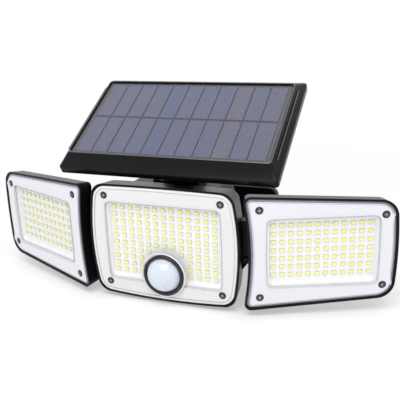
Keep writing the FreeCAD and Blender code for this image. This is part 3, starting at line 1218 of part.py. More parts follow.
def check_document():
    for item in doc.Objects:
        if "Invalid" in item.State or "Error" in item.State:
            raise RuntimeError(f"{item.Name} failed: {item.State}")
    for label, item in parts.items():
        if item.Shape.isNull() or not item.Shape.isValid() or not item.Shape.Solids:
            raise RuntimeError(f"{label} has no sound solid")


make_light()
doc.recompute()
check_document()
os.makedirs("parts", exist_ok=True)
for label, item in parts.items():
    item.Shape.exportStep(f"parts/{label}.step")
print(len(parts), "parts")
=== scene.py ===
import json
from math import atan2, degrees, radians

import bmesh
import bpy
from mathutils import Matrix, Vector


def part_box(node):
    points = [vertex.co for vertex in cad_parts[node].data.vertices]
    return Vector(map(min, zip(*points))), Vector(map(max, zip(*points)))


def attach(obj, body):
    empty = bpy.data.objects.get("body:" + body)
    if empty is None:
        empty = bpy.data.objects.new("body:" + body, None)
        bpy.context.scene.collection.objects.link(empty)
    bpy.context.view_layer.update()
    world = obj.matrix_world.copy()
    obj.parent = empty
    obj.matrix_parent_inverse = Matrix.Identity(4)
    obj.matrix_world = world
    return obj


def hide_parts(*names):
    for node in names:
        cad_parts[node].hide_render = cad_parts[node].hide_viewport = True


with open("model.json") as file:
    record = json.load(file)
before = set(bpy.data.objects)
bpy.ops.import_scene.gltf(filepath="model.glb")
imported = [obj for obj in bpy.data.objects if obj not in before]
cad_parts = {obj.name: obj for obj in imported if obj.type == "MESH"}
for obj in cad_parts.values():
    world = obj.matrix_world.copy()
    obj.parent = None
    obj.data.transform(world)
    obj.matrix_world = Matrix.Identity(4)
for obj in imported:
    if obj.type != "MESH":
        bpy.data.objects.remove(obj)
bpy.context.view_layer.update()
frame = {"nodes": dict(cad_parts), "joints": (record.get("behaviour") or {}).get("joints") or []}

MM = 0.001


# ------------------------------------------------------------------ wall plate and arm
# The plate and its arm are moulded in one black weatherproof plastic. The mould leaves a fine even
# grain and a slightly uneven gloss. The arm is screwed to the plate from the front.

class Value:
    """A socket of a material. Sums and products of sockets add the nodes that work them out."""

    def __init__(self, tree, socket=None):
        self.tree = tree
        self.socket = socket

    def node(self, kind, settings=None, inputs=None, output=0):
        """Add a node, set it up, give its sockets their values or links, and give back an output."""
        made = self.tree.nodes.new(kind)
        for name, setting in (settings or {}).items():
            setattr(made, name, setting)
        for name, given in (inputs or {}).items():
            if isinstance(given, Value):
                self.tree.links.new(given.socket, made.inputs[name])
            else:
                made.inputs[name].default_value = given
        return Value(self.tree, made.outputs[output])

    def beside(self, name):
        """Another output of the same node."""
        return Value(self.tree, self.socket.node.outputs[name])

    def maths(self, operation, *others):
        """A Math node on this value and then the others."""
        return self.node("ShaderNodeMath", {"operation": operation}, dict(enumerate((self, *others))))

    def __add__(self, other):
        return self.maths("ADD", other)

    def __radd__(self, other):
        return self + other

    def __sub__(self, other):
        return self.maths("SUBTRACT", other)

    def __rsub__(self, other):
        return self.node("ShaderNodeMath", {"operation": "SUBTRACT"}, {0: other, 1: self})

    def __mul__(self, other):
        return self.maths("MULTIPLY", other)

    def __rmul__(self, other):
        return self * other

    def __truediv__(self, other):
        return self.maths("DIVIDE", other)

    def __abs__(self):
        return self.maths("ABSOLUTE")

    def __lt__(self, other):
        return self.maths("LESS_THAN", other)

    def __gt__(self, other):
        return self.maths("GREATER_THAN", other)

    def axes(self):
        """The three parts of a vector."""
        parts = self.node("ShaderNodeSeparateXYZ", None, {"Vector": self})
        return [parts.beside(name) for name in "XYZ"]

    def noise(self, scale, detail=2.0, roughness=0.5):
        """Cloudy noise over a place, from 0 to 1, with about scale clouds in a metre."""
        inputs = {"Vector": self, "Scale": scale, "Detail": detail, "Roughness": roughness}
        return self.node("ShaderNodeTexNoise", None, inputs)

    def between(self, low, high, start=0.0, end=1.0):
        """From low to high as this value goes from start to end, and no further."""
        inputs = {"Value": self, "From Min": start, "From Max": end, "To Min": low, "To Max": high}
        return self.node("ShaderNodeMapRange", None, inputs)

    def tint(self, low, high):
        """From one colour to another as this value goes from 0 to 1. A Mix node's colours are 6 and 7."""
        inputs = {0: self, 6: solid(low), 7: solid(high)}
        return self.node("ShaderNodeMix", {"data_type": "RGBA"}, inputs, 2)

    def bump(self, depth, strength=1.0):
        """A normal for a surface that stands up by depth, in metres, where this value is 1."""
        return self.node("ShaderNodeBump", None, {"Height": self, "Distance": depth, "Strength": strength})


def solid(colour):
    """A colour with its alpha. A link passes through."""
    return colour if isinstance(colour, Value) else (*colour, 1.0)


class Finish:
    """A material in the making, with one Principled shader. Its place is the Object coordinates."""

    def __init__(self, name, **sockets):
        self.material = bpy.data.materials.new(name)
        self.material.use_nodes = True
        self.tree = self.material.node_tree
        self.shader = self.tree.nodes["Principled BSDF"]
        self.place = Value(self.tree).node("ShaderNodeTexCoord", output="Object")
        self.set(**sockets)

    def set(self, **sockets):
        """Give the shader's sockets their values or links: base_color is Base Color."""
        for name, given in sockets.items():
            title = name.replace("_", " ").title().replace("Ior", "IOR")
            target = self.shader.inputs[title]
            if isinstance(given, Value):
                self.tree.links.new(given.socket, target)
            else:
                target.default_value = solid(given) if isinstance(given, tuple) else given

    def gloss_veil(self, least, most, start, end):
        """How much a clear part hides by its gloss: on its outer faces only, and never from a lamp."""
        gleam = self.place.node("ShaderNodeFresnel", None, {"IOR": 1.5}).between(least, most, start, end)
        lamp_ray = self.place.node("ShaderNodeLightPath", output="Is Shadow Ray")
        inner_face = self.place.node("ShaderNodeNewGeometry", output="Backfacing")
        return gleam * (1 - lamp_ray) * (1 - inner_face)

    def seen_from(self, matrix):
        """The place in a turned part's own frame."""
        settings = {"vector_type": "TEXTURE"}
        inputs = {"Vector": self.place, "Location": matrix.translation, "Rotation": matrix.to_euler()}
        return self.place.node("ShaderNodeMapping", settings, inputs)


def dress(finish, *names):
    """Give CAD nodes a finish."""
    for name in names:
        node = frame["nodes"][name]
        if not node.material_slots:
            node.data.materials.append(finish.material)
        for slot in node.material_slots:
            slot.material = finish.material


def moulded(name, dark, pale, rough, grain_depth=0.05 * MM, **sockets):
    """A moulded plastic: fine grain over slow clouds of colour and gloss."""
    made = Finish(name, **sockets)
    grain = made.place.noise(2400, 3.0, 0.6)
    clouds = made.place.noise(36, 3.0)
    made.set(base_color=clouds.tint(dark, pale), roughness=(0.6 * clouds + 0.4 * grain).between(*rough),
             normal=grain.bump(grain_depth, 0.5))
    return made


black_plastic = moulded("black_plastic", (0.003, 0.003, 0.0035), (0.006, 0.006, 0.0075), (0.24, 0.36),
                        specular_ior_level=0.16)
dress(black_plastic, "wall_plate", "wall_arm")


# ------------------------------------------------------------------ bolts, nuts and pins
# The neck and the panel turn on steel bolts with nuts, and the side lamps on headed pins. They are
# headed from wire and blackened, so the metal shines through along fine drawing marks.

dark_steel = Finish("dark_steel", metallic=0.85)
marks = dark_steel.place.noise(5200, 2.0, 0.7)
cast = dark_steel.place.noise(140, 2.0)
dark_steel.set(base_color=(0.5 * cast + 0.5 * marks).tint((0.07, 0.07, 0.075), (0.16, 0.16, 0.17)),
               roughness=marks.between(0.25, 0.45), normal=marks.bump(0.01 * MM, 0.4))
dress(dark_steel, "neck_bolt", "neck_nut", "panel_bolt", "panel_nut", "left_hinge_pin", "right_hinge_pin")

bush_plastic = moulded("bush_plastic", (0.03, 0.03, 0.03), (0.05, 0.05, 0.05), (0.35, 0.5))
dress(bush_plastic, "left_hinge_bushes", "right_hinge_bushes")


# ------------------------------------------------------------------ lamp shells
# Deep trays with drafted walls, moulded in the same black plastic as the arm. The box on the back of
# the centre lamp closes on a rubber gasket, and so does each lamp's cover.

dress(black_plastic, "centre_housing", "rear_housing", "left_housing", "right_housing",
      "left_arm", "right_arm")

seal_rubber = moulded("seal_rubber", (0.012, 0.012, 0.012), (0.03, 0.03, 0.03), (0.7, 0.9),
                      specular_ior_level=0.3)
dress(seal_rubber, "rear_gasket", "centre_gasket", "left_gasket", "right_gasket")


# ------------------------------------------------------------------ what the rear housing holds
# Two cells in shrink wrap lie in a moulded cradle, above the driver board with its small switch.
# The mode button is a soft grey cap that comes through the floor of the housing.

cell_wrap = Finish("cell_wrap", roughness=0.3)
wrinkles = cell_wrap.place.noise(420, 4.0, 0.6)
cell_wrap.set(base_color=wrinkles.tint((0.01, 0.045, 0.22), (0.014, 0.06, 0.3)),
              normal=wrinkles.bump(0.08 * MM, 0.3))
dress(cell_wrap, "battery_cells")

grey_plastic = moulded("dark_grey_plastic", (0.016, 0.016, 0.017), (0.026, 0.026, 0.028), (0.45, 0.6))
dress(grey_plastic, "battery_cradle", "button_switch", "mode_button")

green_board = Finish("green_board", specular_ior_level=0.5)
cloth = green_board.place.noise(900, 2.0)
green_board.set(base_color=cloth.tint((0.004, 0.05, 0.014), (0.008, 0.085, 0.026)),
                roughness=cloth.between(0.3, 0.45))
dress(green_board, "driver_board")


# ------------------------------------------------------------------ reflectors and LED boards
# A white moulded tray lies in front of each board and throws the light forward. The boards are
# glass cloth with a white solder mask, and are held down by the tray.

white_tray = moulded("white_tray", (0.87, 0.87, 0.88), (0.91, 0.91, 0.92), (0.35, 0.5), 0.01 * MM)
dress(white_tray, "centre_reflector", "left_reflector", "right_reflector")

white_board = moulded("white_board", (0.89, 0.885, 0.9), (0.92, 0.915, 0.93), (0.3, 0.4), 0.01 * MM)
dress(white_board, "centre_led_board", "left_led_board", "right_led_board")


# ------------------------------------------------------------------ LEDs
# Each is a small white ceramic package with a shallow well of yellow phosphor, soldered to its board.
# The side lamps are swung back, so their LEDs are laid out in turned frames.

pivots = {joint["name"]: Vector(joint["pos_m"]) for joint in frame["joints"] if "pos_m" in joint}
LED_REACH = 120.0  # mm, from the wall to the plane of the centre lamp's LEDs
SIDE_OUTWARD = 42.4  # from a side lamp's pin out to its middle
SIDE_FORWARD = 17.0  # from a side lamp's pin forward to the plane of its LEDs
SWING = radians(21.8)

centre_place = Matrix.Translation((0, -LED_REACH * MM, pivots["head_tilt"].z))


def side_place(side):
    """The frame of a side lamp, with +X outwards from its pin. The left one is mirrored."""
    pin = Matrix.Translation(pivots["right_swing" if side > 0 else "left_swing"])
    turned = Matrix.Rotation(side * SWING, 4, "Z") @ Matrix.Scale(side, 4, (1, 0, 0))
    return pin @ turned @ Matrix.Translation(Vector((SIDE_OUTWARD, -SIDE_FORWARD, 0)) * MM)


def solids_of(node, place=Matrix()):
    """The lowest and highest corner of each separate solid of a node, in its part's own frame."""
    mesh = bmesh.new()
    mesh.from_mesh(frame["nodes"][node].data)
    bmesh.ops.remove_doubles(mesh, verts=mesh.verts, dist=0.001 * MM)
    mesh.transform(place.inverted())
    waiting = set(mesh.verts)
    found = []
    for first in mesh.verts:
        if first not in waiting:
            continue
        waiting.remove(first)
        joined = [first]
        for vert in joined:
            near = {edge.other_vert(vert) for edge in vert.link_edges} & waiting
            waiting -= near
            joined.extend(near)
        low = Vector([min(vert.co[axis] for vert in joined) for axis in range(3)])
        high = Vector([max(vert.co[axis] for vert in joined) for axis in range(3)])
        found.append((low, high))
    mesh.free()
    return found


def make_piece(mesh, name, body, replaced, finishes, place=Matrix(), sharp=35):
    """Turn a finished bmesh into a piece on a body, in place of its CAD nodes."""
    mesh.transform(place)
    bmesh.ops.recalc_face_normals(mesh, faces=mesh.faces)
    data = bpy.data.meshes.new(name)
    mesh.to_mesh(data)
    mesh.free()
    data.set_sharp_from_angle(angle=radians(sharp))
    piece = bpy.data.objects.new(name, data)
    bpy.context.scene.collection.objects.link(piece)
    for finish in finishes:
        data.materials.append(finish.material)
    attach(piece, body)
    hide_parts(*replaced)


phosphor = Finish("led_phosphor", roughness=0.5)
batch = phosphor.place.noise(150, 1.0)
phosphor.set(base_color=batch.tint((0.9, 0.89, 0.22), (0.95, 0.95, 0.42)))
package = moulded("led_package", (0.45, 0.45, 0.4), (0.55, 0.55, 0.5), (0.3, 0.4), 0.01 * MM)


def make_leds(name, body, place):
    """The packages of one lamp, each with a wall round its phosphor."""
    wall, well = 0.11 * MM, 0.08 * MM
    mesh = bmesh.new()
    for low, high in solids_of(name, place):
        size = Matrix.Diagonal((*(high - low), 1))
        cube = bmesh.ops.create_cube(mesh, size=1.0, matrix=Matrix.Translation((low + high) / 2) @ size)
        front = min({face for vert in cube["verts"] for face in vert.link_faces},
                    key=lambda face: face.calc_center_median().y)
        bmesh.ops.inset_individual(mesh, faces=[front], thickness=wall)
        bmesh.ops.inset_individual(mesh, faces=[front], thickness=wall / 4, depth=-well)
        front.material_index = 1
    make_piece(mesh, name + "_packages", body, [name], [package, phosphor], place)


make_leds("centre_leds", "lamp", centre_place)
for side, end in ((-1, "left"), (1, "right")):
    make_leds(end + "_leds", end + "_lamp", side_place(side))


# ------------------------------------------------------------------ motion sensor
# A metal can stands on the board behind a domed lens of milky plastic, whose inside is cut into many
# small lenses. A glossy black ring clips it to the cover.

SENSOR_Z = -24.0  # mm, from the middle of the centre lamp
RING_SEGMENTS = 96
ring_plastic = moulded("ring_plastic", (0.004, 0.004, 0.005), (0.008, 0.008, 0.009), (0.1, 0.16), 0.01 * MM)


def turn_ring(name, node, finish, profile, soft):
    """A ring turned round the sensor, from its profile in mm. Its third and fourth corners are softened."""
    mesh = bmesh.new()
    verts = [mesh.verts.new(Vector((x, y, SENSOR_Z)) * MM) for x, y in profile]
    mesh.faces.new(verts)
    bmesh.ops.bevel(mesh, geom=verts[2:4], offset=soft * MM, offset_type="OFFSET", affect="VERTICES",
                    segments=6, profile=0.5, material=-1)
    bmesh.ops.delete(mesh, geom=mesh.faces[:], context="FACES_ONLY")
    bmesh.ops.spin(mesh, geom=mesh.edges[:], cent=Vector((0, 0, SENSOR_Z)) * MM, axis=(0, 1, 0),
                   angle=radians(360), steps=RING_SEGMENTS, use_merge=True, use_duplicate=False)
    make_piece(mesh, name, "lamp", [node], [finish], centre_place, sharp=60)


turn_ring("sensor_ring", "pir_ring", ring_plastic,
          [(13.5, -4), (15.9, -4), (15.9, -6.6), (14.1, -6.6), (13.5, -5.8)], 0.85)

can_steel = Finish("can_steel", metallic=1.0)
brush = can_steel.place.noise(3000, 2.0)
can_steel.set(base_color=brush.tint((0.5, 0.5, 0.5), (0.65, 0.65, 0.64)), roughness=brush.between(0.2, 0.35))
dress(can_steel, "pir_sensor")

milky = Finish("milky_lens", roughness=0.12, specular_ior_level=0.8, subsurface_weight=0.35,
               subsurface_scale=2 * MM)
facets = milky.place.node("ShaderNodeTexVoronoi", {"feature": "SMOOTH_F1"},
                          {"Vector": milky.place, "Scale": 330.0, "Smoothness": 0.25})
haze = milky.place.noise(70, 2.0)
milky.set(base_color=(0.5 * haze + 0.6 * facets).tint((0.74, 0.79, 0.85), (0.6, 0.66, 0.76)),
          normal=facets.bump(-0.25 * MM, 0.35))
dress(milky, "pir_dome")


# ------------------------------------------------------------------ screws
# Blackened pan-head screws with a cross recess hold every cover, foot and housing. The inside of
# the recess is painted light grey, a painted highlight for the light it catches.

black_screw = Finish("black_screw", metallic=0.5)
coat = black_screw.place.noise(1400, 2.0)
black_screw.set(base_color=coat.tint((0.02, 0.02, 0.024), (0.045, 0.045, 0.05)),
                roughness=coat.between(0.28, 0.42))
# Painted highlight: the inside of each cross recess is coloured light grey for the light it catches.
painted_highlight_recess = Finish("painted_highlight_recess", metallic=0.6)
highlight_noise = painted_highlight_recess.place.noise(2600, 2.0)
painted_highlight_recess.set(base_color=highlight_noise.tint((0.3, 0.3, 0.33), (0.6, 0.6, 0.64)),
                roughness=highlight_noise.between(0.3, 0.5))

HEAD_WALL = 1.2 * MM
HEAD_PROFILE = [(0, 0.5), (0.35, 0.4), (0.6, 0.3), (0.3, 0)]
SHANK_RADIUS = 1.25 * MM
CROSS_QUARTER = [(1, 0), (0.96, 0.27), (0.6, 0.27), (0.27, 0.27), (0.27, 0.6), (0.27, 0.96)]
CROSS_REACH = 0.56
CROSS_DEPTH = 0.6


def inset_and_raise(mesh, face, *steps, finish=0):
    """Shrink a face inside its outline and raise it along its normal, again and again, in mm."""
    for inset, rise in steps:
        ring = bmesh.ops.inset_individual(mesh, faces=[face], thickness=inset * MM, depth=rise * MM)
        for part in ring["faces"]:
            part.material_index = finish
    face.material_index = 0


def add_screw(mesh, tip, head, radius):
    """A screw from its tip to the top of its head. Its top face, of 24 corners, is drawn into a cross."""
    way = (head - tip).normalized()
    upright = way.to_track_quat("Z", "Y").to_matrix().to_4x4()
    seat = Matrix.Translation(head - way * HEAD_WALL) @ upright
    base = bmesh.ops.create_circle(mesh, cap_ends=True, segments=24, radius=radius, matrix=seat)
    top = base["verts"][0].link_faces[0]
    top.normal_update()
    if top.normal.dot(way) < 0:
        top.normal_flip()
    inset_and_raise(mesh, top, *HEAD_PROFILE)
    for vert in top.verts:
        x, y, z = seat.inverted() @ vert.co
        corner = round(degrees(atan2(y, x)) / 15) % 24
        across, along = CROSS_QUARTER[corner % 6]
        quarter = Matrix.Rotation(radians(90) * (corner // 6), 4, "Z")
        vert.co = seat @ (quarter @ (Vector((across, along, 0)) * CROSS_REACH * radius) + Vector((0, 0, z)))
    inset_and_raise(mesh, top, (0.07, -CROSS_DEPTH))
    # The recess faces take the painted highlight.
    for highlit_face in {face for vert in top.verts for face in vert.link_faces}:
        highlit_face.material_index = 1
    length = (head - tip).length - HEAD_WALL
    shank = Matrix.Translation(tip + way * length / 2) @ upright
    bmesh.ops.create_cone(mesh, cap_ends=True, segments=12, radius1=SHANK_RADIUS, radius2=SHANK_RADIUS,
                          depth=length, matrix=shank)


def make_screws(node, body, facing, place=Matrix()):
    """The screws of one node, which all face one way in their part's own frame."""
    facing = Vector(facing)
    axis = max(range(3), key=lambda k: abs(facing[k]))
    mesh = bmesh.new()
    for low, high in solids_of(node, place):
        middle, half = (low + high) / 2, (high - low) / 2
        add_screw(mesh, middle - facing * half[axis], middle + facing * half[axis], half[(axis + 1) % 3])
    make_piece(mesh, node + "_heads", body, [node], [black_screw, painted_highlight_recess], place)


PANEL_TILT = radians(29.5)
panel_place = Matrix.Translation(pivots["panel_tilt"]) @ Matrix.Rotation(PANEL_TILT, 4, "X")
make_screws("arm_screws", "wall", (0, -1, 0))
make_screws("centre_cover_screws", "lamp", (0, -1, 0), centre_place)
make_screws("rear_screws", "lamp", (0, -1, 0), centre_place)
make_screws("panel_bracket_screws", "lamp", (0, 0, 1), centre_place)
make_screws("panel_screws", "panel", (0, 0, -1), panel_place)
for side, end in ((-1, "left"), (1, "right")):
    make_screws(end + "_cover_screws", end + "_lamp", (0, -1, 0), side_place(side))
    make_screws(end + "_arm_screws", end + "_lamp", (0, 1, 0), side_place(side))


# ------------------------------------------------------------------ covers
# A clear moulded plate closes each lamp, held by four screws. Its border is backed with white, and
# its middle rises as a window over the LEDs. The centre plate has a rounded lip, and the side plates
# a bevel painted dark grey as painted shade.

HOLE_RADIUS = 16.2  # mm, of the sensor's hole
COLLAR_RADIUS = 18.0  # of the window's edge below the sensor
COLLAR_LOWEST = -41.0  # where that edge runs along the lip
COVER_BACK = -2.7  # in front of the plane of the LEDs, as is the next
WINDOW_BACK = -3.8
SEAT_RADIUS = 2.85  # of the hole a screw's head sits in


def face_forward(face):
    """Turn a face towards the front of its lamp."""
    face.normal_update()
    if face.normal.y > 0:
        face.normal_flip()
    return face


def lay_outline(mesh, corners, bows, radii, level):
    """A face across a lamp: its corners, how far each side bows out, and each corner's radius, in mm."""
    known = set(mesh.faces)
    places = [Vector((x, level, z)) * MM for x, z in corners]
    verts = [mesh.verts.new(place) for place in places]
    mesh.faces.new(verts)
    for k, bow in enumerate(bows):
        start, end = places[k], places[(k + 1) % 4]
        outwards = Vector((end.z - start.z, 0, start.x - end.x)).normalized()
        split = verts[k]
        cuts = 7 if bow else 0
        for cut in range(cuts):
            edge = mesh.edges.get((split, verts[(k + 1) % 4]))
            split = bmesh.utils.edge_split(edge, split, 0.5)[1]
            along = (cut + 1) / (cuts + 1)
            split.co = start.lerp(end, along) + outwards * bow * MM * 4 * along * (1 - along)
    for place, radius in zip(places, radii):
        corner = min(mesh.verts, key=lambda vert: (vert.co - place).length)
        bmesh.ops.bevel(mesh, geom=[corner], offset=radius * MM, offset_type="OFFSET", affect="VERTICES",
                        segments=8, profile=0.5, material=-1)
    return face_forward(next(face for face in mesh.faces if face not in known))


def add_collar(mesh, face):
    """Lead the lower edge of the centre window round below the sensor, as far as the lip."""
    lowest = min(vert.co.z for vert in face.verts)
    level = face.verts[0].co.y
    bottom = max((edge for edge in face.edges if max(vert.co.z for vert in edge.verts) < lowest + 0.01 * MM),
                 key=lambda edge: edge.calc_length())
    left, right = sorted(bottom.verts, key=lambda vert: vert.co.x)
    drop = SENSOR_Z * MM - lowest
    reach = ((COLLAR_RADIUS * MM) ** 2 - drop ** 2) ** 0.5
    sweep = 180 - 2 * degrees(atan2(drop, reach))
    outline = [edge for edge in face.edges if edge != bottom]
    bmesh.ops.delete(mesh, geom=[bottom], context="EDGES")
    first = mesh.verts.new((reach, level, lowest))
    arc = bmesh.ops.spin(mesh, geom=[first], cent=(0, level, SENSOR_Z * MM), axis=(0, 1, 0),
                         angle=radians(sweep), steps=16, use_merge=False, use_duplicate=False)
    last = next(part for part in arc["geom_last"] if isinstance(part, bmesh.types.BMVert))
    around = [first]
    while around[-1] != last:
        edge = next(edge for edge in around[-1].link_edges if edge not in outline)
        outline.append(edge)
        around.append(edge.other_vert(around[-1]))
    for vert in around:
        vert.co.z = max(vert.co.z, COLLAR_LOWEST * MM)
    outline += [mesh.edges.new((right, first)), mesh.edges.new((left, last))]
    known = set(mesh.faces)
    bmesh.ops.contextual_create(mesh, geom=outline)
    return face_forward(next(face for face in mesh.faces if face not in known))


def edges_of(verts):
    """The edges that meet at these corners, each once, in a fixed order."""
    return list(dict.fromkeys(edge for vert in verts for edge in vert.link_edges))


def ring_of_edges(mesh, middle, radius, level, segments):
    """A circle of edges across a lamp, for a hole, in mm."""
    x, z = middle
    stand = Matrix.Translation(Vector((x, level, z)) * MM) @ Matrix.Rotation(radians(90), 4, "X")
    circle = bmesh.ops.create_circle(mesh, cap_ends=False, segments=segments, radius=radius * MM,
                                     matrix=stand)
    return edges_of(circle["verts"])


def open_and_close(mesh, face, holes, behind):
    """Take the holes out of a plate's front face, wall them down to its back, and close the back."""
    rim = list(face.edges)
    bmesh.ops.delete(mesh, geom=[face], context="FACES_ONLY")
    bmesh.ops.triangle_fill(mesh, edges=rim + holes, use_beauty=True, normal=(0, -1, 0))
    down = bmesh.ops.extrude_edge_only(mesh, edges=holes)["geom"]
    for vert in [part for part in down if isinstance(part, bmesh.types.BMVert)]:
        vert.co.y = behind * MM
    back = [edge for edge in mesh.edges if edge.is_boundary]
    bmesh.ops.triangle_fill(mesh, edges=back, use_beauty=True, normal=(0, 1, 0))


def lay_window(mesh, window, level):
    """A window's face, from its low and high corners in mm and whether it goes round the sensor."""
    (left, low), (right, high), round_sensor = window
    corners = [(left, low), (right, low), (right, high), (left, high)]
    face = lay_outline(mesh, corners, (0, 0.5, 0, 0.5), (4, 4, 4, 4), level)
    return add_collar(mesh, face) if round_sensor else face


def make_cover(end, body, place, outline, edge, lip, groove, window, screws, finishes):
    """A lamp's cover: a border of three finishes with its screw seats, and a clear window with an edge.

    Edge, lip and groove are steps inwards from the outline, each an inset and a rise.
    """
    mesh = bmesh.new()
    face = lay_outline(mesh, *outline, COVER_BACK)
    inset_and_raise(mesh, face, *edge, finish=1)
    inset_and_raise(mesh, face, *lip)
    inset_and_raise(mesh, face, *groove, finish=2)
    inset_and_raise(mesh, face, (0.1, 0.1))
    level = face.verts[0].co.y / MM
    holes = []
    for middle in screws:
        holes += ring_of_edges(mesh, middle, SEAT_RADIUS, level, 24)
    hole = lay_window(mesh, window, level)
    holes += list(hole.edges)
    bmesh.ops.delete(mesh, geom=[hole], context="FACES_ONLY")
    open_and_close(mesh, face, holes, COVER_BACK)
    make_piece(mesh, end + "_cover_border", body, [end + "_cover"], finishes, place)

    mesh = bmesh.new()
    face = lay_window(mesh, window, WINDOW_BACK)
    inset_and_raise(mesh, face, (0, 1.0), (0.08, 0.25), (0.2, 0.17), finish=1)
    inset_and_raise(mesh, face, (0.6, 0.08))
    level = face.verts[0].co.y / MM
    _, _, round_sensor = window
    holes = ring_of_edges(mesh, (0, SENSOR_Z), HOLE_RADIUS, level, 64) if round_sensor else []
    open_and_close(mesh, face, holes, WINDOW_BACK)
    make_piece(mesh, end + "_cover_window", body, [end + "_cover"],
               [clear_window, shaded_window_edge], place)


white_border = moulded("white_border", (0.73, 0.73, 0.74), (0.77, 0.77, 0.78), (0.12, 0.2), 0.005 * MM)
cool_border = moulded("cool_border", (0.74, 0.745, 0.79), (0.78, 0.785, 0.83), (0.12, 0.2), 0.005 * MM)
# Painted shade: the side plates' bevel is coloured dark grey for the shade it sits in.
painted_shade_bevel = moulded("painted_shade_bevel", (0.2, 0.2, 0.25), (0.27, 0.27, 0.32), (0.15, 0.25), 0.005 * MM)
shaded_groove = moulded("shaded_groove", (0.36, 0.36, 0.39), (0.44, 0.44, 0.47), (0.4, 0.5), 0.005 * MM)

clear_window = Finish("clear_window", base_color=(0.7, 0.71, 0.76), roughness=0.06)
ripples = clear_window.place.noise(60, 1.0)
clear_window.set(alpha=clear_window.gloss_veil(0.04, 0.85, 0.05, 0.4),
                 normal=ripples.bump(0.05 * MM, 0.2))
# Painted shade: the window's raised edge is coloured dark grey for the thin shaded line along it.
shaded_window_edge = Finish("shaded_window_edge", base_color=(0.27, 0.27, 0.31), roughness=0.2)
ripples = shaded_window_edge.place.noise(60, 1.0)
shaded_window_edge.set(alpha=shaded_window_edge.gloss_veil(0.55, 0.95, 0.04, 0.6), normal=ripples.bump(0.05 * MM, 0.2))

turn_ring("sensor_collar", "centre_cover", white_border,
          [(16.6, -5.2), (17.8, -5.2), (17.8, -5.75), (16.7, -5.75)], 0.3)

lamp_corners = [(-52.9, -41.5), (52.9, -41.5), (52.9, 41.5), (-52.9, 41.5)]
make_cover("centre", "lamp", centre_place,
           outline=(lamp_corners, (2.6, 4.6, 0.8, 4.6), (7.6, 7.6, 8, 8)),
           edge=[(0, 1.3)],
           lip=[(0.08, 0.2), (0.22, 0.15), (1.45, 0.05)],
           groove=[(0.12, -0.35), (0.3, -0.05)],
           window=((-45.5, -32), (45.5, 30), True),
           screws=[(x, z) for x in (-45.6, 45.6) for z in (-34.7, 34.7)],
           finishes=[white_border, white_border, shaded_groove])

side_corners = [(-54.1, -41.1), (49, -35), (49, 35), (-54.1, 41.1)]
for side, end in ((-1, "left"), (1, "right")):
    make_cover(end, end + "_lamp", side_place(side),
               outline=(side_corners, (0, 2, 0, -4), (5.2, 10.8, 10.8, 5.2)),
               edge=[(0, 0.35), (0.1, 0.15), (0.9, 0.5), (0.8, 0.3)],
               lip=[(0.15, 0.15), (0.25, 0.05)],
               groove=[(0.1, -0.15), (0.25, -0.02)],
               window=((-38.9, -25.75), (39.4, 25.75), False),
               screws=[(x, up * rise) for x, rise in ((-44, 32.7), (42.8, 26.3)) for up in (-1, 1)],
               finishes=[cool_border, painted_shade_bevel, shaded_groove])


# ------------------------------------------------------------------ panel
# The panel's frame is one black moulding: a band, a skirt that slopes in and a rim, with a rib on
# each side slope. The rim and the ribs' rounded edges are painted lighter grey, a painted highlight.
# A grey board with two rows of blue cells lies in its recess under glass.

PANEL_SHIFT = 7.4  # mm, from the pivot to the middle of the panel, along it
PANEL_LOW = 21.1  # from the pivot up to the lower edge of the band
PANEL_BACK = 2.0  # how deep the frame is hollow underneath
BAND = [(-0.35, -0.35, 0.15), (-0.15, -0.15, 0.35), (0, 0, 4.8), (0.15, 0.15, 0.35), (0.45, 0.6, 0.35)]
SKIRT = [(5.3, 9.0, 6.5), (0.1, 0.15, 0.3)]
RIM = [(0.3, 0.45, 0.25), (0.75, 0.75, 0.05)]
RECESS = [(0.35, 0.3, -0.3), (0.1, 0.1, -3.4)]


def lay_sheet(mesh, half_width, half_length, level):
    """A rectangle that lies across the panel and faces up, in mm."""
    corners = [(-half_width, -half_length), (half_width, -half_length),
               (half_width, half_length), (-half_width, half_length)]
    face = mesh.faces.new([mesh.verts.new(Vector((x, PANEL_SHIFT + y, level)) * MM) for x, y in corners])
    face.normal_update()
    return face


def shift_in(mesh, face, *steps, finish=0):
    """Raise a face step by step, and bring its sides in across and along, in mm."""
    middle = face.calc_center_median()
    for across, along, rise in steps:
        ring = bmesh.ops.inset_individual(mesh, faces=[face], thickness=0, depth=rise * MM)
        for part in ring["faces"]:
            part.material_index = finish
        face.material_index = 0
        for vert in face.verts:
            vert.co.x -= (across if vert.co.x > middle.x else -across) * MM
            vert.co.y -= (along if vert.co.y > middle.y else -along) * MM


mesh = bmesh.new()
lay_sheet(mesh, 84.8, 53.45, PANEL_LOW)
bmesh.ops.bevel(mesh, geom=mesh.verts[:], offset=2.6 * MM, offset_type="OFFSET", affect="VERTICES",
                segments=5, profile=0.5, material=-1)
top = mesh.faces[:][0]
top.normal_update()
shift_in(mesh, top, *BAND, *SKIRT)
# The rim's faces take the painted highlight.
shift_in(mesh, top, *RIM, finish=1)
shift_in(mesh, top, *RECESS)
under = bmesh.ops.contextual_create(mesh, geom=[edge for edge in mesh.edges if edge.is_boundary])["faces"][0]
under.normal_update()
if under.normal.z > 0:
    under.normal_flip()
inset_and_raise(mesh, under, (1.5, 0), (0.05, -PANEL_BACK))

RIB_ACROSS = 81.9
RIB_RISE = 31.35
RIB_SIZE = Matrix.Diagonal((0.7 * MM, 76 * MM, 0.8 * MM, 1))
SKIRT_SLOPE = radians(49.6)
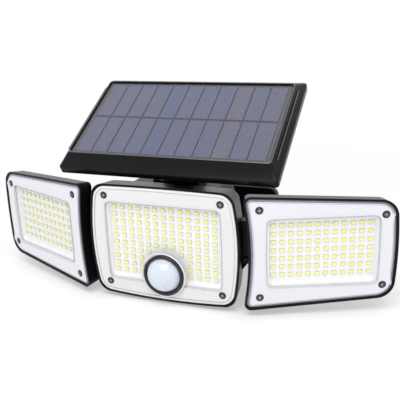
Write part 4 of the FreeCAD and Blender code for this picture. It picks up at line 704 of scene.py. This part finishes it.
# Painted highlight: the rim and the ribs' rounded edges are coloured lighter than the black plastic.
painted_highlight_edge = moulded("painted_highlight_edge", (0.07, 0.07, 0.075), (0.11, 0.11, 0.115), (0.15, 0.25), 0.01 * MM)
for side in (-1, 1):
    stand = Matrix.Translation(Vector((side * RIB_ACROSS, PANEL_SHIFT, RIB_RISE)) * MM)
    slope = Matrix.Rotation(side * SKIRT_SLOPE, 4, "Y")
    rib = bmesh.ops.create_cube(mesh, size=1.0, matrix=stand @ slope @ RIB_SIZE)
    rounded = bmesh.ops.bevel(mesh, geom=edges_of(rib["verts"]), offset=0.2 * MM, offset_type="OFFSET",
                              affect="EDGES", segments=2, profile=0.5, material=-1)
    # The rib's rounded edges take the painted highlight.
    for vert in rounded["verts"]:
        for part in vert.link_faces:
            part.material_index = 1
make_piece(mesh, "panel_frame_moulding", "panel", ["panel_frame"],
           [black_plastic, painted_highlight_edge], panel_place)
dress(black_plastic, "panel_back", "panel_bracket")

backsheet = Finish("grey_backsheet", roughness=0.5)
spot = backsheet.place.noise(300, 2.0)
backsheet.set(base_color=spot.tint((0.085, 0.078, 0.09), (0.1, 0.092, 0.105)))
dress(backsheet, "panel_board")

CELL_PITCH = 13.62 * MM
FINGER_PITCH = 1.16 * MM
ROW_GAP = 2.1 * MM
silicon = Finish("blue_silicon", roughness=0.3, specular_ior_level=0.3)
across, along, _ = silicon.seen_from(panel_place).axes()
step = across / CELL_PITCH + 0.5
column = step.maths("FLOOR")
batch = silicon.place.node("ShaderNodeTexWhiteNoise", {"noise_dimensions": "1D"}, {"W": column + 0.37})
cloud = silicon.place.noise(110, 2.0)
bluest = abs(column + 1) < 0.5
wafer = (0.45 * batch + 0.25 * cloud + 0.3 * bluest).tint((0.086, 0.08, 0.112), (0.04, 0.058, 0.15))
finger = abs((across / FINGER_PITCH).maths("FRACT") - 0.5) < 0.12
lined = (finger * 0.9).tint(wafer, (0.25, 0.26, 0.34))
between_columns = abs(step.maths("FRACT") - 0.5) > 0.455
between_rows = abs(along - PANEL_SHIFT * MM) < ROW_GAP / 2
silicon.set(base_color=between_columns.maths("MAXIMUM", between_rows).tint(lined, (0.03, 0.03, 0.04)))
dress(silicon, "solar_cells")

clear_glass = Finish("clear_glass", base_color=(0.55, 0.55, 0.6), roughness=0.12)
smears = clear_glass.place.noise(40, 2.0)
clear_glass.set(alpha=clear_glass.gloss_veil(0.05, 0.5, 0.05, 0.6) * smears.between(0.8, 1.2))

mesh = bmesh.new()
pane = lay_sheet(mesh, 77.4, 42.05, 32.5)
shift_in(mesh, pane, (0, 0, 0.5), (0.1, 0.1, 0.1))
bmesh.ops.contextual_create(mesh, geom=[edge for edge in mesh.edges if edge.is_boundary])
make_piece(mesh, "panel_glass_pane", "panel", ["panel_glass"], [clear_glass], panel_place)


# ------------------------------------------------------------------ floor, light and camera
# The light stands for its picture on the lowest edge of its wall plate, on a white floor that takes
# a soft shadow near it. A big soft light hangs over the front, and the room is white all round.

floor_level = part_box("wall_plate")[0][2]
mesh = bmesh.new()
bmesh.ops.create_grid(mesh, x_segments=2, y_segments=2, size=4.0,
                      matrix=Matrix.Translation((0, 0, floor_level)))
sheet = bpy.data.meshes.new("floor")
mesh.to_mesh(sheet)
mesh.free()
floor = bpy.data.objects.new("floor", sheet)
bpy.context.scene.collection.objects.link(floor)


def seen_straight(tree):
    """1 for what the camera sees, also in a mirror or through glass."""
    rays = Value(tree).node("ShaderNodeLightPath")
    in_mirror, through = rays.beside("Is Glossy Ray"), rays.beside("Is Transmission Ray")
    return rays.beside("Is Camera Ray").maths("MAXIMUM", in_mirror.maths("MAXIMUM", through))


white_floor = Finish("white_floor", base_color=(0.95, 0.95, 0.95), roughness=0.9, specular_ior_level=0.0)
glow = white_floor.place.node("ShaderNodeEmission", None, {"Color": (1, 1, 1, 1), "Strength": 1.0})
across, along, _ = white_floor.place.axes()
distance = (across * across + along * along).maths("SQRT")
share = seen_straight(white_floor.tree) * distance.between(0.35, 1.0, 0.2, 0.45)
lit = Value(white_floor.tree, white_floor.shader.outputs[0])
blend = share.node("ShaderNodeMixShader", None, {0: share, 1: lit, 2: glow})
surface = white_floor.tree.nodes["Material Output"].inputs["Surface"]
white_floor.tree.links.new(blend.socket, surface)
sheet.materials.append(white_floor.material)

world = bpy.data.worlds.new("studio")
bpy.context.scene.world = world
world.use_nodes = True
sky = world.node_tree.nodes["Background"]
sky.inputs["Color"].default_value = (1, 1, 1, 1)
world.node_tree.links.new(seen_straight(world.node_tree).between(0.8, 1.0).socket, sky.inputs["Strength"])

HUNG_AT = (0.1, -0.6, 0.95)
AIM_BACK = (0.1, -0.5, 0.9)
softbox = bpy.data.lights.new("softbox", "AREA")
softbox.shape = "RECTANGLE"
softbox.size = 0.9
softbox.size_y = 0.6
softbox.energy = 6.0
hung = bpy.data.objects.new("softbox", softbox)
aim = Vector(AIM_BACK).to_track_quat("Z", "Y").to_matrix().to_4x4()
hung.matrix_world = Matrix.Translation(HUNG_AT) @ aim
bpy.context.scene.collection.objects.link(hung)

CAMERA_AT = (0.18045, -0.50902, 0.19017)
TURN = radians(21.23)
TILT = radians(71.89)
ROLL = radians(-2.13)
lens = bpy.data.cameras.new("camera")
lens.sensor_width = 36.0
lens.lens = 56.08
camera = bpy.data.objects.new("camera", lens)
turned = Matrix.Rotation(TURN, 4, "Z") @ Matrix.Rotation(TILT, 4, "X") @ Matrix.Rotation(ROLL, 4, "Z")
camera.matrix_world = Matrix.Translation(CAMERA_AT) @ turned
bpy.context.scene.collection.objects.link(camera)
bpy.context.scene.camera = camera
bpy.context.scene.view_settings.view_transform = "Standard"
